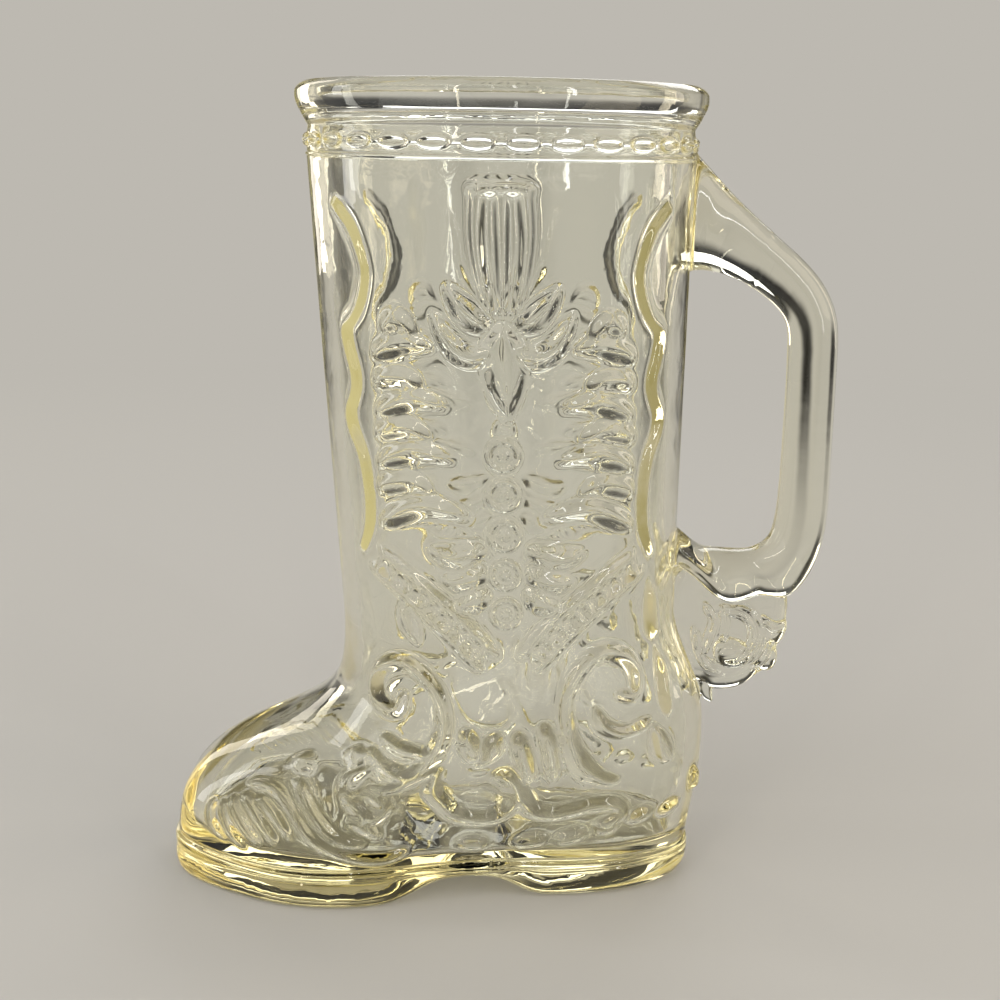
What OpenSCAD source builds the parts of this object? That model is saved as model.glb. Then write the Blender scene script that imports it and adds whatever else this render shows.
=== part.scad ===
// Pressed glass beer boot: a cowboy boot mug with a solid handle and a spur behind the heel.
// +Z is up, the toe points to -X, heel, spur and handle lie towards +X, the two sides face -Y and +Y.
// The origin is on the table, under the middle of the mug's overall length.
// Both sides carry the same raised ornament, mirrored in the boot's middle plane.

/* [Overall] */
// Height from the table to the top of the rim
boot_h = 200; // [190:1:210]
// Thickness of the glass in the shaft
wall = 4; // [3:0.1:5]

/* [Mouth] */
// Outer diameter of the rolled rim
rim_d = 100; // [98:0.5:104]
// Height of the rolled rim
rim_h = 6.5; // [5:0.5:8]
// How far the rim stands out over the band
rim_over = 2.8; // [2:0.1:3.6]
// How far the mouth opens out above the band
mouth_flare = 1.6; // [0.8:0.1:2.4]
// Height of the hollow neck below the rim
neck_h = 3.2; // [2.5:0.1:4.5]
// How far the neck is drawn in
neck_dip = 1.2; // [0.6:0.1:1.8]
// Height of the band that carries the chain
band_h = 8.3; // [7:0.1:11]
// Links in the chain round the band
link_count = 30; // [20:1:36]
// Height of one link of the band's chain
link_h = 2.6; // [2:0.1:3.4]
// Height of the bead that closes the band below
bead_h = 1.6; // [1:0.1:2.2]

/* [Shaft] */
// How much narrower the shaft is at the ankle than under the band
shaft_taper = 10; // [6:0.2:14]
// Height of the ankle, where the shaft meets the foot
ankle_h = 68; // [64:1:72]
// Where the shaft's middle lies at the band
shaft_top_x = -1.2; // [-3:0.1:1]
// Where the shaft's middle lies at the ankle
shaft_low_x = 2.6; // [1:0.1:5]

/* [Foot] */
// From the origin to the tip of the toe
toe_reach = 82.8; // [80:0.2:86]
// From the origin to the back of the heel counter
heel_reach = 53.6; // [51:0.2:56]
// Width of the foot across the ball
ball_w = 71; // [66:0.5:76]
// Height of the seam between sole and upper
seam_h = 10; // [9:0.5:12]
// How far the sole stands out under the upper
welt = 0.8; // [0.4:0.1:1.4]
// Height of the arch between sole and heel
arch_h = 6; // [3:0.5:7]
// Where the arch starts behind the ball
arch_front_x = -30; // [-34:1:-26]
// Where the heel's front face stands
heel_front_x = 8; // [5:0.5:11]
// How far the sole's lower edge is rounded in
sole_round = 2.4; // [1.5:0.1:3.5]

/* [Handle] */
// From the origin to the handle's outer face
handle_reach = 83.6; // [80:0.2:88]
// Thickness of the handle's bar seen from the side
bar_w = 12.2; // [10:0.2:14]
// Thickness of the handle across the mug
bar_t = 12.6; // [10:0.2:15]
// How far the finger loop ends below the band
loop_below = 27; // [22:1:32]
// How far the finger loop starts above the ankle
loop_above = 17; // [14:1:22]

/* [Spur] */
// Diameter of the rowel over its points
rowel_d = 23; // [20:0.5:24]
// Thickness of the rowel
rowel_t = 9; // [6:0.5:12]
// Points round the rowel
rowel_points = 12; // [8:1:16]
// How far the rowel's middle lies behind the heel counter
rowel_behind = 10; // [9:0.2:11]
// How far the rowel's middle lies below the ankle
rowel_below = 7.6; // [6:0.2:9]

/* [Ornament] */
// How far the ornament stands out of the glass
relief = 1.6; // [1:0.1:2.2]
// Width of the piping down each side
piping_w = 3.4; // [2.6:0.1:4]
// Width of the crossed straps over the ankle
strap_w = 5.6; // [4.5:0.1:6.5]
// Diameter of the conchos down the middle
concho_d = 7.8; // [6:0.1:8.6]
// Conchos in each column
concho_count = 5; // [3:1:5]
// Width of a leaf of the sprays
leaf_w = 4.6; // [3.5:0.1:5.5]
// Width of the scrolls' stroke
scroll_w = 3.4; // [2.6:0.1:4.2]

/* [Hidden] */

// One overrun for every cut, one fineness for every curve
over = 1;
fine = 96;
around = 64;
per_span = 4;

// Heights up the mug
rim_low_h = boot_h - rim_h;
neck_low_h = rim_low_h - neck_h;
shaft_top_h = neck_low_h - band_h;
shaft_h = shaft_top_h - ankle_h;

// Radii and the lean of the shaft
rim_r = rim_d / 2;
band_r = rim_r - rim_over;
ankle_r = band_r - shaft_taper / 2;
mouth_r = band_r - wall + mouth_flare;
rim_w = rim_r - mouth_r;
lean = atan((shaft_low_x - shaft_top_x) / shaft_h);
cone_h = shaft_h / cos(lean);

// Front and back of the ankle
ankle_front_x = shaft_low_x - ankle_r;
ankle_back_x = shaft_low_x + ankle_r;
toe_run = toe_reach + ankle_front_x;
heel_run = heel_reach - ankle_back_x;
rowel_x = heel_reach + rowel_behind;
rowel_h = ankle_h - rowel_below;

// Slices up the foot, each in shares: height of the ankle, reach to the toe, reach to the heel,
// change of width from sole to ankle, and thickness of the glass at toe and side against the wall
foot_shares = [
    [0.147, 1.000, 0.58, 0.00, 1.6, 1.1],
    [0.222, 0.992, 0.68, 0.03, 1.7, 1.1],
    [0.300, 0.968, 0.78, 0.08, 1.8, 1.1],
    [0.370, 0.905, 0.88, 0.14, 1.9, 1.1],
    [0.426, 0.815, 0.94, 0.20, 2.0, 1.1],
    [0.482, 0.690, 0.97, 0.28, 2.1, 1.1],
    [0.534, 0.510, 1.00, 0.38, 2.1, 1.1],
    [0.584, 0.335, 1.00, 0.48, 2.0, 1.1],
    [0.632, 0.215, 1.00, 0.58, 1.8, 1.1],
    [0.672, 0.135, 0.95, 0.66, 1.6, 1.1],
    [0.720, 0.065, 0.86, 0.75, 1.4, 1.05],
    [0.800, 0.015, 0.58, 0.87, 1.2, 1.0],
    [0.890, 0.000, 0.26, 0.96, 1.1, 1.0],
    [1.000, 0.000, 0.00, 1.00, 1.0, 1.0]
];
// Half width of the sole along its length, in shares of the length and of half the ball's width
sole_width_shares = [
    [0.00, 0.75], [0.10, 0.91], [0.20, 1.03], [0.28, 1.05], [0.36, 1.01], [0.45, 0.91],
    [0.55, 0.80], [0.65, 0.76], [0.78, 0.79], [0.88, 0.79], [1.00, 0.70]
];
// Fullness of the foot's ends: half at the sole, a full ellipse at the ankle
sole_fullness_share = 0.5;

function column(table, i) = [for (row = table) [row[0], row[i]]];
function mix(a, b, t) = a + (b - a) * t;
function clamp(v, low, high) = max(low, min(high, v));

// Middle and radius of the leaning shaft at a height
function shaft_mid(z) = mix(shaft_low_x, shaft_top_x, (z - ankle_h) / shaft_h);
function shaft_r(z) = mix(ankle_r, band_r, (z - ankle_h) / shaft_h);

// One slice of the foot at a height: front, back, change of width, glass at the toe and at the side
seam_share = foot_shares[0][0];
function slice_share(z) = mix(seam_share, 1, (z - seam_h) / (ankle_h - seam_h));
function foot_front(z) = ankle_front_x - toe_run * lookup(slice_share(z), column(foot_shares, 1));
function foot_back(z) = ankle_back_x + heel_run * lookup(slice_share(z), column(foot_shares, 2));
function foot_change(z) = lookup(slice_share(z), column(foot_shares, 3));
function toe_glass(z) = wall * lookup(slice_share(z), column(foot_shares, 4));
function side_glass(z) = wall * lookup(slice_share(z), column(foot_shares, 5));

// Half width of the outside at a place on the side
function foot_half(s, z) =
    mix(lookup(s, sole_width_shares) * ball_w / 2, ankle_r, foot_change(z)) *
    pow(2 * sqrt(max(s * (1 - s), 0)), mix(sole_fullness_share, 1, foot_change(z)));
function foot_side(x, z) = foot_half(clamp((x - foot_front(z)) / (foot_back(z) - foot_front(z)), 0, 1), z);
function shaft_side(x, z) = sqrt(max(pow(shaft_r(z), 2) - pow(x - shaft_mid(z), 2), 0));
function side(x, z) = z >= ankle_h ? shaft_side(x, z) : foot_side(x, z);

// A point on the -Y side, lifted square to the glass
probe = wall / 10;
function slope_x(x, z) = (side(x + probe, z) - side(x - probe, z)) / (2 * probe);
function slope_z(x, z) = (side(x, z + probe) - side(x, z - probe)) / (2 * probe);
function outward(x, z) =
    let (n = [-clamp(slope_x(x, z), -3, 3), -1, -clamp(slope_z(x, z), -3, 3)])
    n / norm(n);
function lifted(p, h) = [p[0], -side(p[0], p[1]), p[1]] + h * outward(p[0], p[1]);

// Places on the shaft in shares: across its radius from the middle, and up from the ankle
function on_shaft(share) =
    let (z = ankle_h + share[1] * shaft_h)
    [shaft_mid(z) + share[0] * shaft_r(z), z];
// Places on the foot in shares: of the ankle's height, and from front to back at that height
function on_foot(share) =
    let (z = share[1] * ankle_h)
    [mix(foot_front(z), foot_back(z), share[0]), z];

// A smooth run through the given points
function bend(a, b, c, d, t) =
    0.5 * ((2 * b) + (c - a) * t + (2 * a - 5 * b + 4 * c - d) * t * t + (3 * b - a - 3 * c + d) * t * t * t);
function smooth(p) = [
    for (i = [0:len(p) - 2], k = [0:per_span - 1])
        bend(p[max(i - 1, 0)], p[i], p[i + 1], p[min(i + 2, len(p) - 1)], k / per_span),
    p[len(p) - 1]
];

// A raised stroke along a run on the -Y side, bevelled to both edges, with its width swelling by a rule.
// Each corner of its section is a share of the width and a share of the height.
ridge_shares = [[-0.5, 0], [-0.24, 1], [0.24, 1], [0.5, 0]];
seat_gap = 0.08;
function swell(shape, t) =
    shape == "leaf" ? max(pow(sin(180 * pow(t, 0.7)), 0.8), 0.12) :
    shape == "petal" ? max(pow(sin(180 * pow(t, 1.3)), 0.6), 0.15) :
    shape == "taper" ? mix(1, 0.35, t) :
    clamp(4 * min(t, 1 - t) + 0.45, 0, 1);
module stroke(path, width, shape = "line", height = relief, lift = seat_gap) {
    n = len(path);
    m = len(ridge_shares);
    points = [
        for (i = [0:n - 1])
            let (
                t = i / (n - 1),
                run = path[min(i + 1, n - 1)] - path[max(i - 1, 0)],
                across = [-run[1], run[0]] / norm(run),
                w = width * swell(shape, t)
            )
            for (s = ridge_shares)
                lifted(path[i] + across * w * s[0], lift + height * s[1] * min(1, 0.4 + w / width))
    ];
    faces = [
        for (i = [0:n - 2], k = [0:m - 1])
            let (a = i * m + k, b = i * m + (k + 1) % m)
            each [[a, b, b + m], [a, b + m, a + m]],
        for (k = [1:m - 2]) [0, k + 1, k],
        for (k = [1:m - 2]) [(n - 1) * m, (n - 1) * m + k, (n - 1) * m + k + 1]
    ];
    polyhedron(points = points, faces = faces, convexity = 4);
}
module both_sides() {
    children();
    mirror([0, 1, 0]) children();
}

// Mouth

module rim_lip() {
    roll_r = rim_h / 2;
    color("lightcyan", 0.5)
        translate([shaft_top_x, 0, 0])
            rotate_extrude($fn = fine) {
                translate([rim_r - roll_r, boot_h - roll_r]) circle(r = roll_r, $fn = fine / 2);
                translate([mouth_r, rim_low_h]) square([rim_w - roll_r, rim_h]);
            }
}
module neck_band() {
    dip_r = (pow(neck_h / 2, 2) + pow(neck_dip, 2)) / (2 * neck_dip);
    inner_low_r = band_r - wall;
    color("lightcyan", 0.5)
        translate([shaft_top_x, 0, 0])
            rotate_extrude($fn = fine)
                difference() {
                    polygon([
                        [inner_low_r, shaft_top_h], [band_r, shaft_top_h], [band_r, neck_low_h],
                        [band_r, rim_low_h], [mouth_r, rim_low_h], [inner_low_r, neck_low_h]
                    ]);
                    translate([band_r - neck_dip + dip_r, neck_low_h + neck_h / 2])
                        circle(r = dip_r, $fn = fine);
                }
}
// The chain: long rounded links with a short bar between each two
link_share = 0.66;
module band_ring(width_share, height, lift) {
    pitch = 360 / link_count;
    for (i = [0:link_count - 1])
        rotate([0, 0, (i - width_share / 2) * pitch])
            rotate_extrude(angle = pitch * width_share, $fn = fine)
                translate([band_r, shaft_top_h + band_h / 2 - height / 2]) square([lift, height]);
}
module band_links() {
    color("azure", 0.6)
        translate([shaft_top_x, 0, 0]) {
            band_ring(link_share, link_h, relief / 2);
            rotate([0, 0, 180 / link_count]) band_ring(1 - link_share, link_h / 3, relief / 4);
        }
}
module band_bead() {
    color("azure", 0.6)
        translate([shaft_top_x, 0, 0])
            rotate_extrude($fn = fine)
                translate([band_r, shaft_top_h + bead_h / 2])
                    intersection() {
                        circle(r = bead_h / 2, $fn = fine / 2);
                        translate([0, -bead_h / 2]) square([bead_h, bead_h]);
                    }
}

// Shaft and foot

module shaft_body(inset, reach = 0, facets = fine) {
    r_step = (band_r - ankle_r) / cone_h;
    // The leaning ends are cut off level, so each overruns by what the lean takes
    skew = over + band_r * tan(lean);
    low = skew + reach;
    translate([shaft_low_x, 0, ankle_h])
        rotate([0, -lean, 0])
            translate([0, 0, -low])
                cylinder(
                    h = cone_h + low + skew,
                    r1 = ankle_r - inset - low * r_step,
                    r2 = band_r - inset + skew * r_step,
                    $fn = facets
                );
}
module shaft_wall() {
    color("lightcyan", 0.5)
        intersection() {
            difference() {
                shaft_body(0);
                shaft_body(wall, over);
            }
            translate([shaft_low_x - rim_d, -rim_d, ankle_h]) cube([2 * rim_d, 2 * rim_d, shaft_h]);
        }
}
// A closed ring of points round one slice
function ring(front, back, trim, z) = [
    for (i = [0:around - 1])
        let (
            a = 360 * i / around,
            s = (1 - cos(a)) / 2,
            half = max(foot_half(s, z) - trim, 0) * (a < 180 ? -1 : 1)
        )
        [mix(front, back, s), i % (around / 2) == 0 ? 0 : half, z]
];
function outer_ring(z) = ring(foot_front(z), foot_back(z), 0, z);
function inner_ring(z) =
    let (
        front = foot_front(z) + toe_glass(z),
        back = foot_back(z) - side_glass(z),
        thin = 1 - side_glass(z) / mix(ball_w / 2, ankle_r, foot_change(z))
    )
    [for (p = ring(front, back, 0, z)) [p[0], p[1] * thin, p[2]]];
function flat(lists) = [for (l = lists) each l];
function wall_faces(rings, shift = 0, turn = false) = [
    for (j = [0:rings - 2], i = [0:around - 1])
        let (
            a = shift + j * around + i,
            b = shift + j * around + (i + 1) % around,
            c = b + around,
            d = a + around
        )
        each (turn ? [[a, c, b], [a, d, c]] : [[a, b, c], [a, c, d]])
];
module foot_wall() {
    heights = [for (row = foot_shares) mix(seam_h, ankle_h, (row[0] - seam_share) / (1 - seam_share))];
    rings = len(heights);
    inner = rings * around;
    top = (rings - 1) * around;
    color("lightcyan", 0.5)
        polyhedron(
            points = flat([flat([for (z = heights) outer_ring(z)]), flat([for (z = heights) inner_ring(z)])]),
            faces = [
                each wall_faces(rings, 0, true),
                each wall_faces(rings, inner, false),
                for (i = [0:around - 1])
                    let (k = (i + 1) % around)
                    each [[i, k, inner + k], [i, inner + k, inner + i]],
                for (i = [0:around - 1])
                    let (a = top + i, b = top + (i + 1) % around)
                    each [[a, inner + b, b], [a, inner + a, inner + b]]
            ],
            convexity = 10
        );
}
// The whole base in one block, as deep as the sole and the heel
sole_step_shares = [[1, 1, 0], [0.92, 0, 0], [0.35, 0, 0], [0.14, 0, 0.3], [0, 0, 1]];
module base_block() {
    rings = [
        for (s = sole_step_shares)
            let (
                out = s[1] == 1 ? 0 : welt,
                trim = s[2] * sole_round - out,
                edge = ring(foot_front(seam_h) + trim, foot_back(seam_h) - trim, trim, seam_h)
            )
            [for (p = edge) [p[0], p[1], seam_h * s[0]]]
    ];
    last = (len(rings) - 1) * around;
    polyhedron(
        points = flat(rings),
        faces = [
            each wall_faces(len(rings), 0, false),
            [for (i = [around - 1:-1:0]) i],
            [for (i = [0:around - 1]) last + i]
        ],
        convexity = 6
    );
}
// The hollow under the arch, open to both sides
arch_shares = [[0, 0], [0.14, 0.25], [0.3, 0.7], [0.44, 0.95], [0.58, 1], [0.8, 0.97], [0.92, 0.75], [1, 0]];
module arch_cut() {
    rotate([90, 0, 0])
        linear_extrude(height = 2 * ball_w, center = true)
            polygon([
                [arch_front_x, -over],
                for (s = arch_shares) [mix(arch_front_x, heel_front_x, s[0]), arch_h * s[1]],
                [heel_front_x, -over]
            ]);
}
heel_breast_x = mix(arch_front_x, heel_front_x, 0.86);
module sole() {
    color("honeydew", 0.6)
        difference() {
            base_block();
            arch_cut();
            translate([heel_breast_x, -ball_w, -over]) cube([2 * heel_reach, 2 * ball_w, seam_h + 2 * over]);
        }
}
module heel() {
    color("honeydew", 0.6)
        difference() {
            base_block();
            arch_cut();
            translate([heel_breast_x - 2 * toe_reach, -ball_w, -over])
                cube([2 * toe_reach, 2 * ball_w, seam_h + 2 * over]);
        }
}

// Handle: one bent bar, moulded in three stretches that meet face to face.
// Each station is a place on its outer edge, one on its inner edge, and its thickness against the bar's.
// Shares run outwards from the band to each edge, and upwards through the finger loop.
// Beyond the loop's ends a share is measured in the height that the arms take instead.
handle_out = handle_reach - band_r;
loop_out = handle_out - bar_w;
loop_low_h = ankle_h + loop_above;
loop_h = shaft_top_h - loop_below - loop_low_h;
arm_h = bar_w * 5.74;
function up_loop(v) = loop_low_h + clamp(v, 0, 1) * loop_h + (v - clamp(v, 0, 1)) * arm_h;
function outer_edge(share) = [band_r + share[0] * handle_out, up_loop(share[1])];
function inner_edge(share) = [band_r + share[0] * loop_out, up_loop(share[1])];
upper_arm_shares = [
    [[-0.22, 1.43], [-0.18, 1.00], 1.25], [[0.06, 1.36], [0.09, 1.012], 1.15],
    [[0.22, 1.29], [0.27, 1.005], 1.05], [[0.40, 1.205], [0.48, 0.98], 1.0],
    [[0.57, 1.13], [0.66, 0.945], 1.0]
];
grip_shares = [
    [[0.57, 1.13], [0.66, 0.945], 1.0], [[0.73, 1.06], [0.81, 0.905], 1.0],
    [[0.87, 0.98], [0.93, 0.86], 1.0], [[0.96, 0.89], [0.985, 0.81], 1.0],
    [[0.995, 0.80], [0.995, 0.75], 1.0], [[1.0, 0.62], [1.0, 0.60], 1.0],
    [[1.0, 0.42], [0.995, 0.42], 1.0], [[1.0, 0.24], [0.985, 0.25], 1.0],
    [[0.995, 0.09], [0.96, 0.13], 1.0], [[0.95, -0.04], [0.90, 0.05], 1.0]
];
lower_arm_shares = [
    [[0.95, -0.04], [0.90, 0.05], 1.0], [[0.80, -0.15], [0.71, 0.005], 1.0],
    [[0.55, -0.24], [0.48, -0.01], 1.05], [[0.30, -0.30], [0.26, -0.005], 1.15],
    [[0.05, -0.34], [0.03, 0.045], 1.3], [[-0.20, -0.36], [-0.30, 0.12], 1.4]
];
bar_around = 20;
bar_fullness_share = 0.7;
function bulge(v) = sign(v) * pow(abs(v), bar_fullness_share);
function bar_ring(station) =
    let (
        outer = outer_edge(station[0]),
        inner = inner_edge(station[1]),
        middle = (outer + inner) / 2,
        reach = (outer - inner) / 2
    )
    [
        for (i = [0:bar_around - 1])
            let (a = 360 * i / bar_around, m = middle + reach * bulge(cos(a)))
            [m[0], bulge(sin(a)) * bar_t / 2 * station[2], m[1]]
    ];
module bar(stations) {
    rings = len(stations);
    last = (rings - 1) * bar_around;
    polyhedron(
        points = flat([for (s = stations) bar_ring(s)]),
        faces = [
            for (j = [0:rings - 2], i = [0:bar_around - 1])
                let (
                    a = j * bar_around + i,
                    b = j * bar_around + (i + 1) % bar_around
                )
                each [[a, b, b + bar_around], [a, b + bar_around, a + bar_around]],
            [for (i = [bar_around - 1:-1:0]) i],
            [for (i = [0:bar_around - 1]) last + i]
        ],
        convexity = 6
    );
}
module mouth_core() {
    translate([shaft_top_x, 0, shaft_top_h]) cylinder(h = boot_h, r = band_r, $fn = fine);
}
module handle_upper_arm() {
    color("lightcyan", 0.5)
        difference() {
            bar(upper_arm_shares);
            shaft_body(0);
            mouth_core();
        }
}
module handle_grip() {
    color("lightcyan", 0.5) bar(grip_shares);
}
module handle_lower_arm() {
    color("lightcyan", 0.5)
        difference() {
            bar(lower_arm_shares);
            shaft_body(0);
            foot_core();
            rowel_body(rowel_d / 2);
        }
}

// Spur

module rowel_body(r) {
    translate([rowel_x, 0, rowel_h]) rotate([90, 0, 0]) cylinder(h = 2 * bar_t, r = r, center = true, $fn = fine);
}
module spur_rowel() {
    point_r = PI * rowel_d / rowel_points / 4;
    color("azure", 0.6)
        translate([rowel_x, 0, rowel_h])
            rotate([90, 0, 0]) {
                cylinder(h = rowel_t, r = rowel_d / 2 - point_r, center = true, $fn = fine);
                for (i = [0:rowel_points - 1])
                    rotate([0, 0, i * 360 / rowel_points])
                        translate([rowel_d / 2 - point_r, 0, 0])
                            cylinder(h = rowel_t, r = point_r, center = true, $fn = fine / 4);
            }
}
module spur_hub() {
    hub_r = rowel_d / 5;
    color("honeydew", 0.6)
        both_sides()
            translate([rowel_x, -rowel_t / 2, rowel_h])
                rotate([90, 0, 0]) cylinder(h = relief, r = hub_r, $fn = fine / 2);
}
// The shank joins the boot's back to the rowel
shank_shares = [[-0.72, 0.42], [-0.35, 0.55], [0.1, 0.42], [0.1, -0.4], [-0.5, -0.75], [-0.72, -0.7]];
module spur_shank() {
    color("lightcyan", 0.5)
        difference() {
            translate([rowel_x, 0, rowel_h])
                rotate([90, 0, 0])
                    linear_extrude(height = rowel_t, center = true)
                        polygon([for (s = shank_shares) s * rowel_d]);
            rowel_body(rowel_d / 2);
            shaft_body(0);
            foot_core();
            bar(lower_arm_shares);
        }
}
// The foot as one solid, to trim what stands against its back
module foot_core() {
    heights = [for (row = foot_shares) mix(seam_h, ankle_h, (row[0] - seam_share) / (1 - seam_share))];
    last = (len(heights) - 1) * around;
    polyhedron(
        points = flat([for (z = heights) outer_ring(z)]),
        faces = [
            each wall_faces(len(heights), 0, true),
            [for (i = [0:around - 1]) i],
            [for (i = [around - 1:-1:0]) last + i]
        ],
        convexity = 6
    );
}
module spur_drop() {
    drop_r = rowel_d / 7;
    color("honeydew", 0.6)
        difference() {
            translate([rowel_x - rowel_d * 0.36, 0, rowel_h - rowel_d * 0.62])
                rotate([90, 0, 0]) cylinder(h = rowel_t * 0.8, r = drop_r, center = true, $fn = fine / 2);
            foot_core();
            rowel_body(rowel_d / 2);
            translate([rowel_x, 0, rowel_h])
                rotate([90, 0, 0])
                    linear_extrude(height = rowel_t, center = true)
                        polygon([for (s = shank_shares) s * rowel_d]);
        }
}

// Ornament down the middle of each side

// A bar across the top of three flutes that draw together below
pull_bar_shares = [[-0.16, 0.963], [0, 0.965], [0.16, 0.963]];
flute_shares = [[0.092, 0.945], [0.063, 0.835], [0.038, 0.725]];
flute_w = 0.15 * band_r;
module pull_straps() {
    color("azure", 0.6)
        both_sides() {
            stroke(smooth([for (p = pull_bar_shares) on_shaft(p)]), bead_h * 1.3);
            for (s = [-1, 0, 1])
                stroke(smooth([for (p = flute_shares) on_shaft([s * p[0], p[1]])]), flute_w / 2, "taper");
        }
}
lily_leaf_shares = [
    [[0.04, 0.722], [0.12, 0.700], [0.20, 0.727], [0.27, 0.735], [0.32, 0.705]],
    [[0.05, 0.690], [0.13, 0.655], [0.22, 0.668], [0.29, 0.690]],
    [[0.03, 0.745], [0.08, 0.775], [0.13, 0.785]]
];
module lily_leaves() {
    color("azure", 0.6)
        both_sides()
            for (flip = [-1, 1], leaf = lily_leaf_shares)
                stroke(smooth([for (p = leaf) on_shaft([flip * p[0], p[1]])]), leaf_w, "leaf");
}
lily_pendant_shares = [[0, 0.690], [-0.005, 0.635], [0.01, 0.575], [0.015, 0.505]];
module lily_pendants() {
    color("azure", 0.6)
        both_sides()
            stroke(smooth([for (p = lily_pendant_shares) on_shaft(p)]), leaf_w * 1.9, "leaf");
}
concho_low_share = 0.10;
concho_high_share = 0.43;
module concho_columns() {
    color("azure", 0.6)
        both_sides()
            difference() {
                for (i = [0:concho_count - 1]) {
                    at = on_shaft([-0.01, mix(concho_high_share, concho_low_share, i / (concho_count - 1))]);
                    reach = side(at[0], at[1]) + relief * 0.8;
                    translate([at[0], 0, at[1]])
                        rotate([90, 0, 0]) cylinder(h = reach, r = concho_d / 2, $fn = fine);
                }
                shaft_body(0, 0, 4 * fine);
            }
}

// Sprays of leaves: each leaf runs from its root at the piping to its tip by the conchos
spray_shares = [
    [[0.66, 0.615], [0.50, 0.645], [0.34, 0.640]], [[0.66, 0.565], [0.50, 0.575], [0.40, 0.564]],
    [[0.66, 0.495], [0.47, 0.535], [0.29, 0.523]], [[0.67, 0.455], [0.50, 0.475], [0.38, 0.460]],
    [[0.67, 0.390], [0.46, 0.428], [0.25, 0.414]], [[0.68, 0.340], [0.50, 0.365], [0.38, 0.345]],
    [[0.68, 0.265], [0.44, 0.315], [0.19, 0.299]], [[0.60, 0.668], [0.52, 0.690], [0.43, 0.668]]
];
module leaf_spray(flip) {
    color("azure", 0.6)
        both_sides()
            for (leaf = spray_shares)
                stroke(smooth([for (p = leaf) on_shaft([flip * p[0], p[1]])]), leaf_w, "leaf");
}
module front_leaf_sprays() {
    leaf_spray(-1);
}
module rear_leaf_sprays() {
    leaf_spray(1);
}

// Wavy piping: the same run front and back, mirrored in the middle of the side
piping_shares = [
    [0.82, 0.910], [0.74, 0.865], [0.69, 0.805], [0.685, 0.765], [0.73, 0.705], [0.80, 0.665],
    [0.79, 0.615], [0.765, 0.555], [0.81, 0.495], [0.80, 0.450], [0.76, 0.405], [0.74, 0.345],
    [0.74, 0.285], [0.76, 0.240], [0.80, 0.200]
];
module piping(flip) {
    color("honeydew", 0.6)
        both_sides() stroke(smooth([for (p = piping_shares) on_shaft([flip * p[0], p[1]])]), piping_w);
}
module front_piping() {
    piping(-1);
}
module rear_piping() {
    piping(1);
}

// Crossed straps, one from each side of the ankle to the middle, with short rungs between two rails
vee_shares = [[0.72, 0.185], [0.57, 0.150], [0.40, 0.100], [0.25, 0.050], [0.12, -0.005]];
vee_rungs = 9;
module vee_strap(flip) {
    path = smooth([for (p = vee_shares) on_shaft([flip * p[0], p[1]])]);
    rail = strap_w / 4;
    color("honeydew", 0.6)
        both_sides() {
            for (s = [-1, 1])
                stroke(
                    [
                        for (i = [0:len(path) - 1])
                            let (
                                run = path[min(i + 1, len(path) - 1)] - path[max(i - 1, 0)],
                                across = [-run[1], run[0]] / norm(run)
                            )
                            path[i] + across * s * (strap_w - rail) / 2
                    ],
                    rail
                );
            for (i = [1:vee_rungs])
                let (
                    k = round(i * (len(path) - 1) / (vee_rungs + 1)),
                    run = path[k + 1] - path[k - 1],
                    across = [-run[1], run[0]] / norm(run),
                    reach = strap_w / 2 - rail - seat_gap
                )
                stroke([path[k] - across * reach, path[k], path[k] + across * reach], rail / 2, "line", relief / 2);
        }
}
module front_vee_straps() {
    vee_strap(-1);
}
module rear_vee_straps() {
    vee_strap(1);
}
petal_shares = [
    [[0.42, 0.225], [0.27, 0.215], [0.12, 0.235]], [[0.36, 0.165], [0.24, 0.165], [0.11, 0.190]],
    [[0.28, 0.110], [0.20, 0.120], [0.10, 0.145]]
];
module lower_petals() {
    color("azure", 0.6)
        both_sides()
            for (flip = [-1, 1], petal = petal_shares)
                stroke(smooth([for (p = petal) on_shaft([flip * p[0], p[1]])]), leaf_w * 1.1, "petal");
}

// Scrolls on the foot

front_scroll_shares = [
    [0.348, 0.480], [0.357, 0.545], [0.323, 0.700], [0.295, 0.860], [0.213, 0.950],
    [0.131, 0.890], [0.128, 0.790], [0.186, 0.760], [0.201, 0.820]
];
rear_scroll_shares = [
    [0.819, 0.480], [0.736, 0.545], [0.627, 0.700], [0.660, 0.860], [0.764, 0.950],
    [0.831, 0.890], [0.812, 0.790], [0.754, 0.760], [0.743, 0.820]
];
waist_scroll_shares = [
    [[0.441, 0.500], [0.490, 0.400], [0.542, 0.335], [0.589, 0.330], [0.625, 0.385], [0.609, 0.460], [0.553, 0.500]],
    [[0.619, 0.480], [0.660, 0.400], [0.728, 0.350], [0.844, 0.355]],
    [[0.422, 0.620], [0.498, 0.560], [0.535, 0.520]],
    [[0.599, 0.640], [0.602, 0.570], [0.600, 0.530]]
];
module foot_strokes(list, width, shape = "line", lift = seat_gap) {
    color("azure", 0.6)
        both_sides()
            for (run = list)
                stroke(smooth([for (p = run) on_foot(p)]), width, shape, relief, lift);
}
module front_scrolls() {
    foot_strokes([front_scroll_shares], scroll_w);
}
module rear_scrolls() {
    foot_strokes([rear_scroll_shares], scroll_w);
}
module waist_scrolls() {
    foot_strokes(waist_scroll_shares, scroll_w);
}
ankle_leaf_shares = [[-0.56, 0.10], [-0.54, 0.06], [-0.50, 0.02]];
module ankle_leaves() {
    color("honeydew", 0.6)
        both_sides() stroke(smooth([for (p = ankle_leaf_shares) on_shaft(p)]), leaf_w, "leaf");
}
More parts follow.
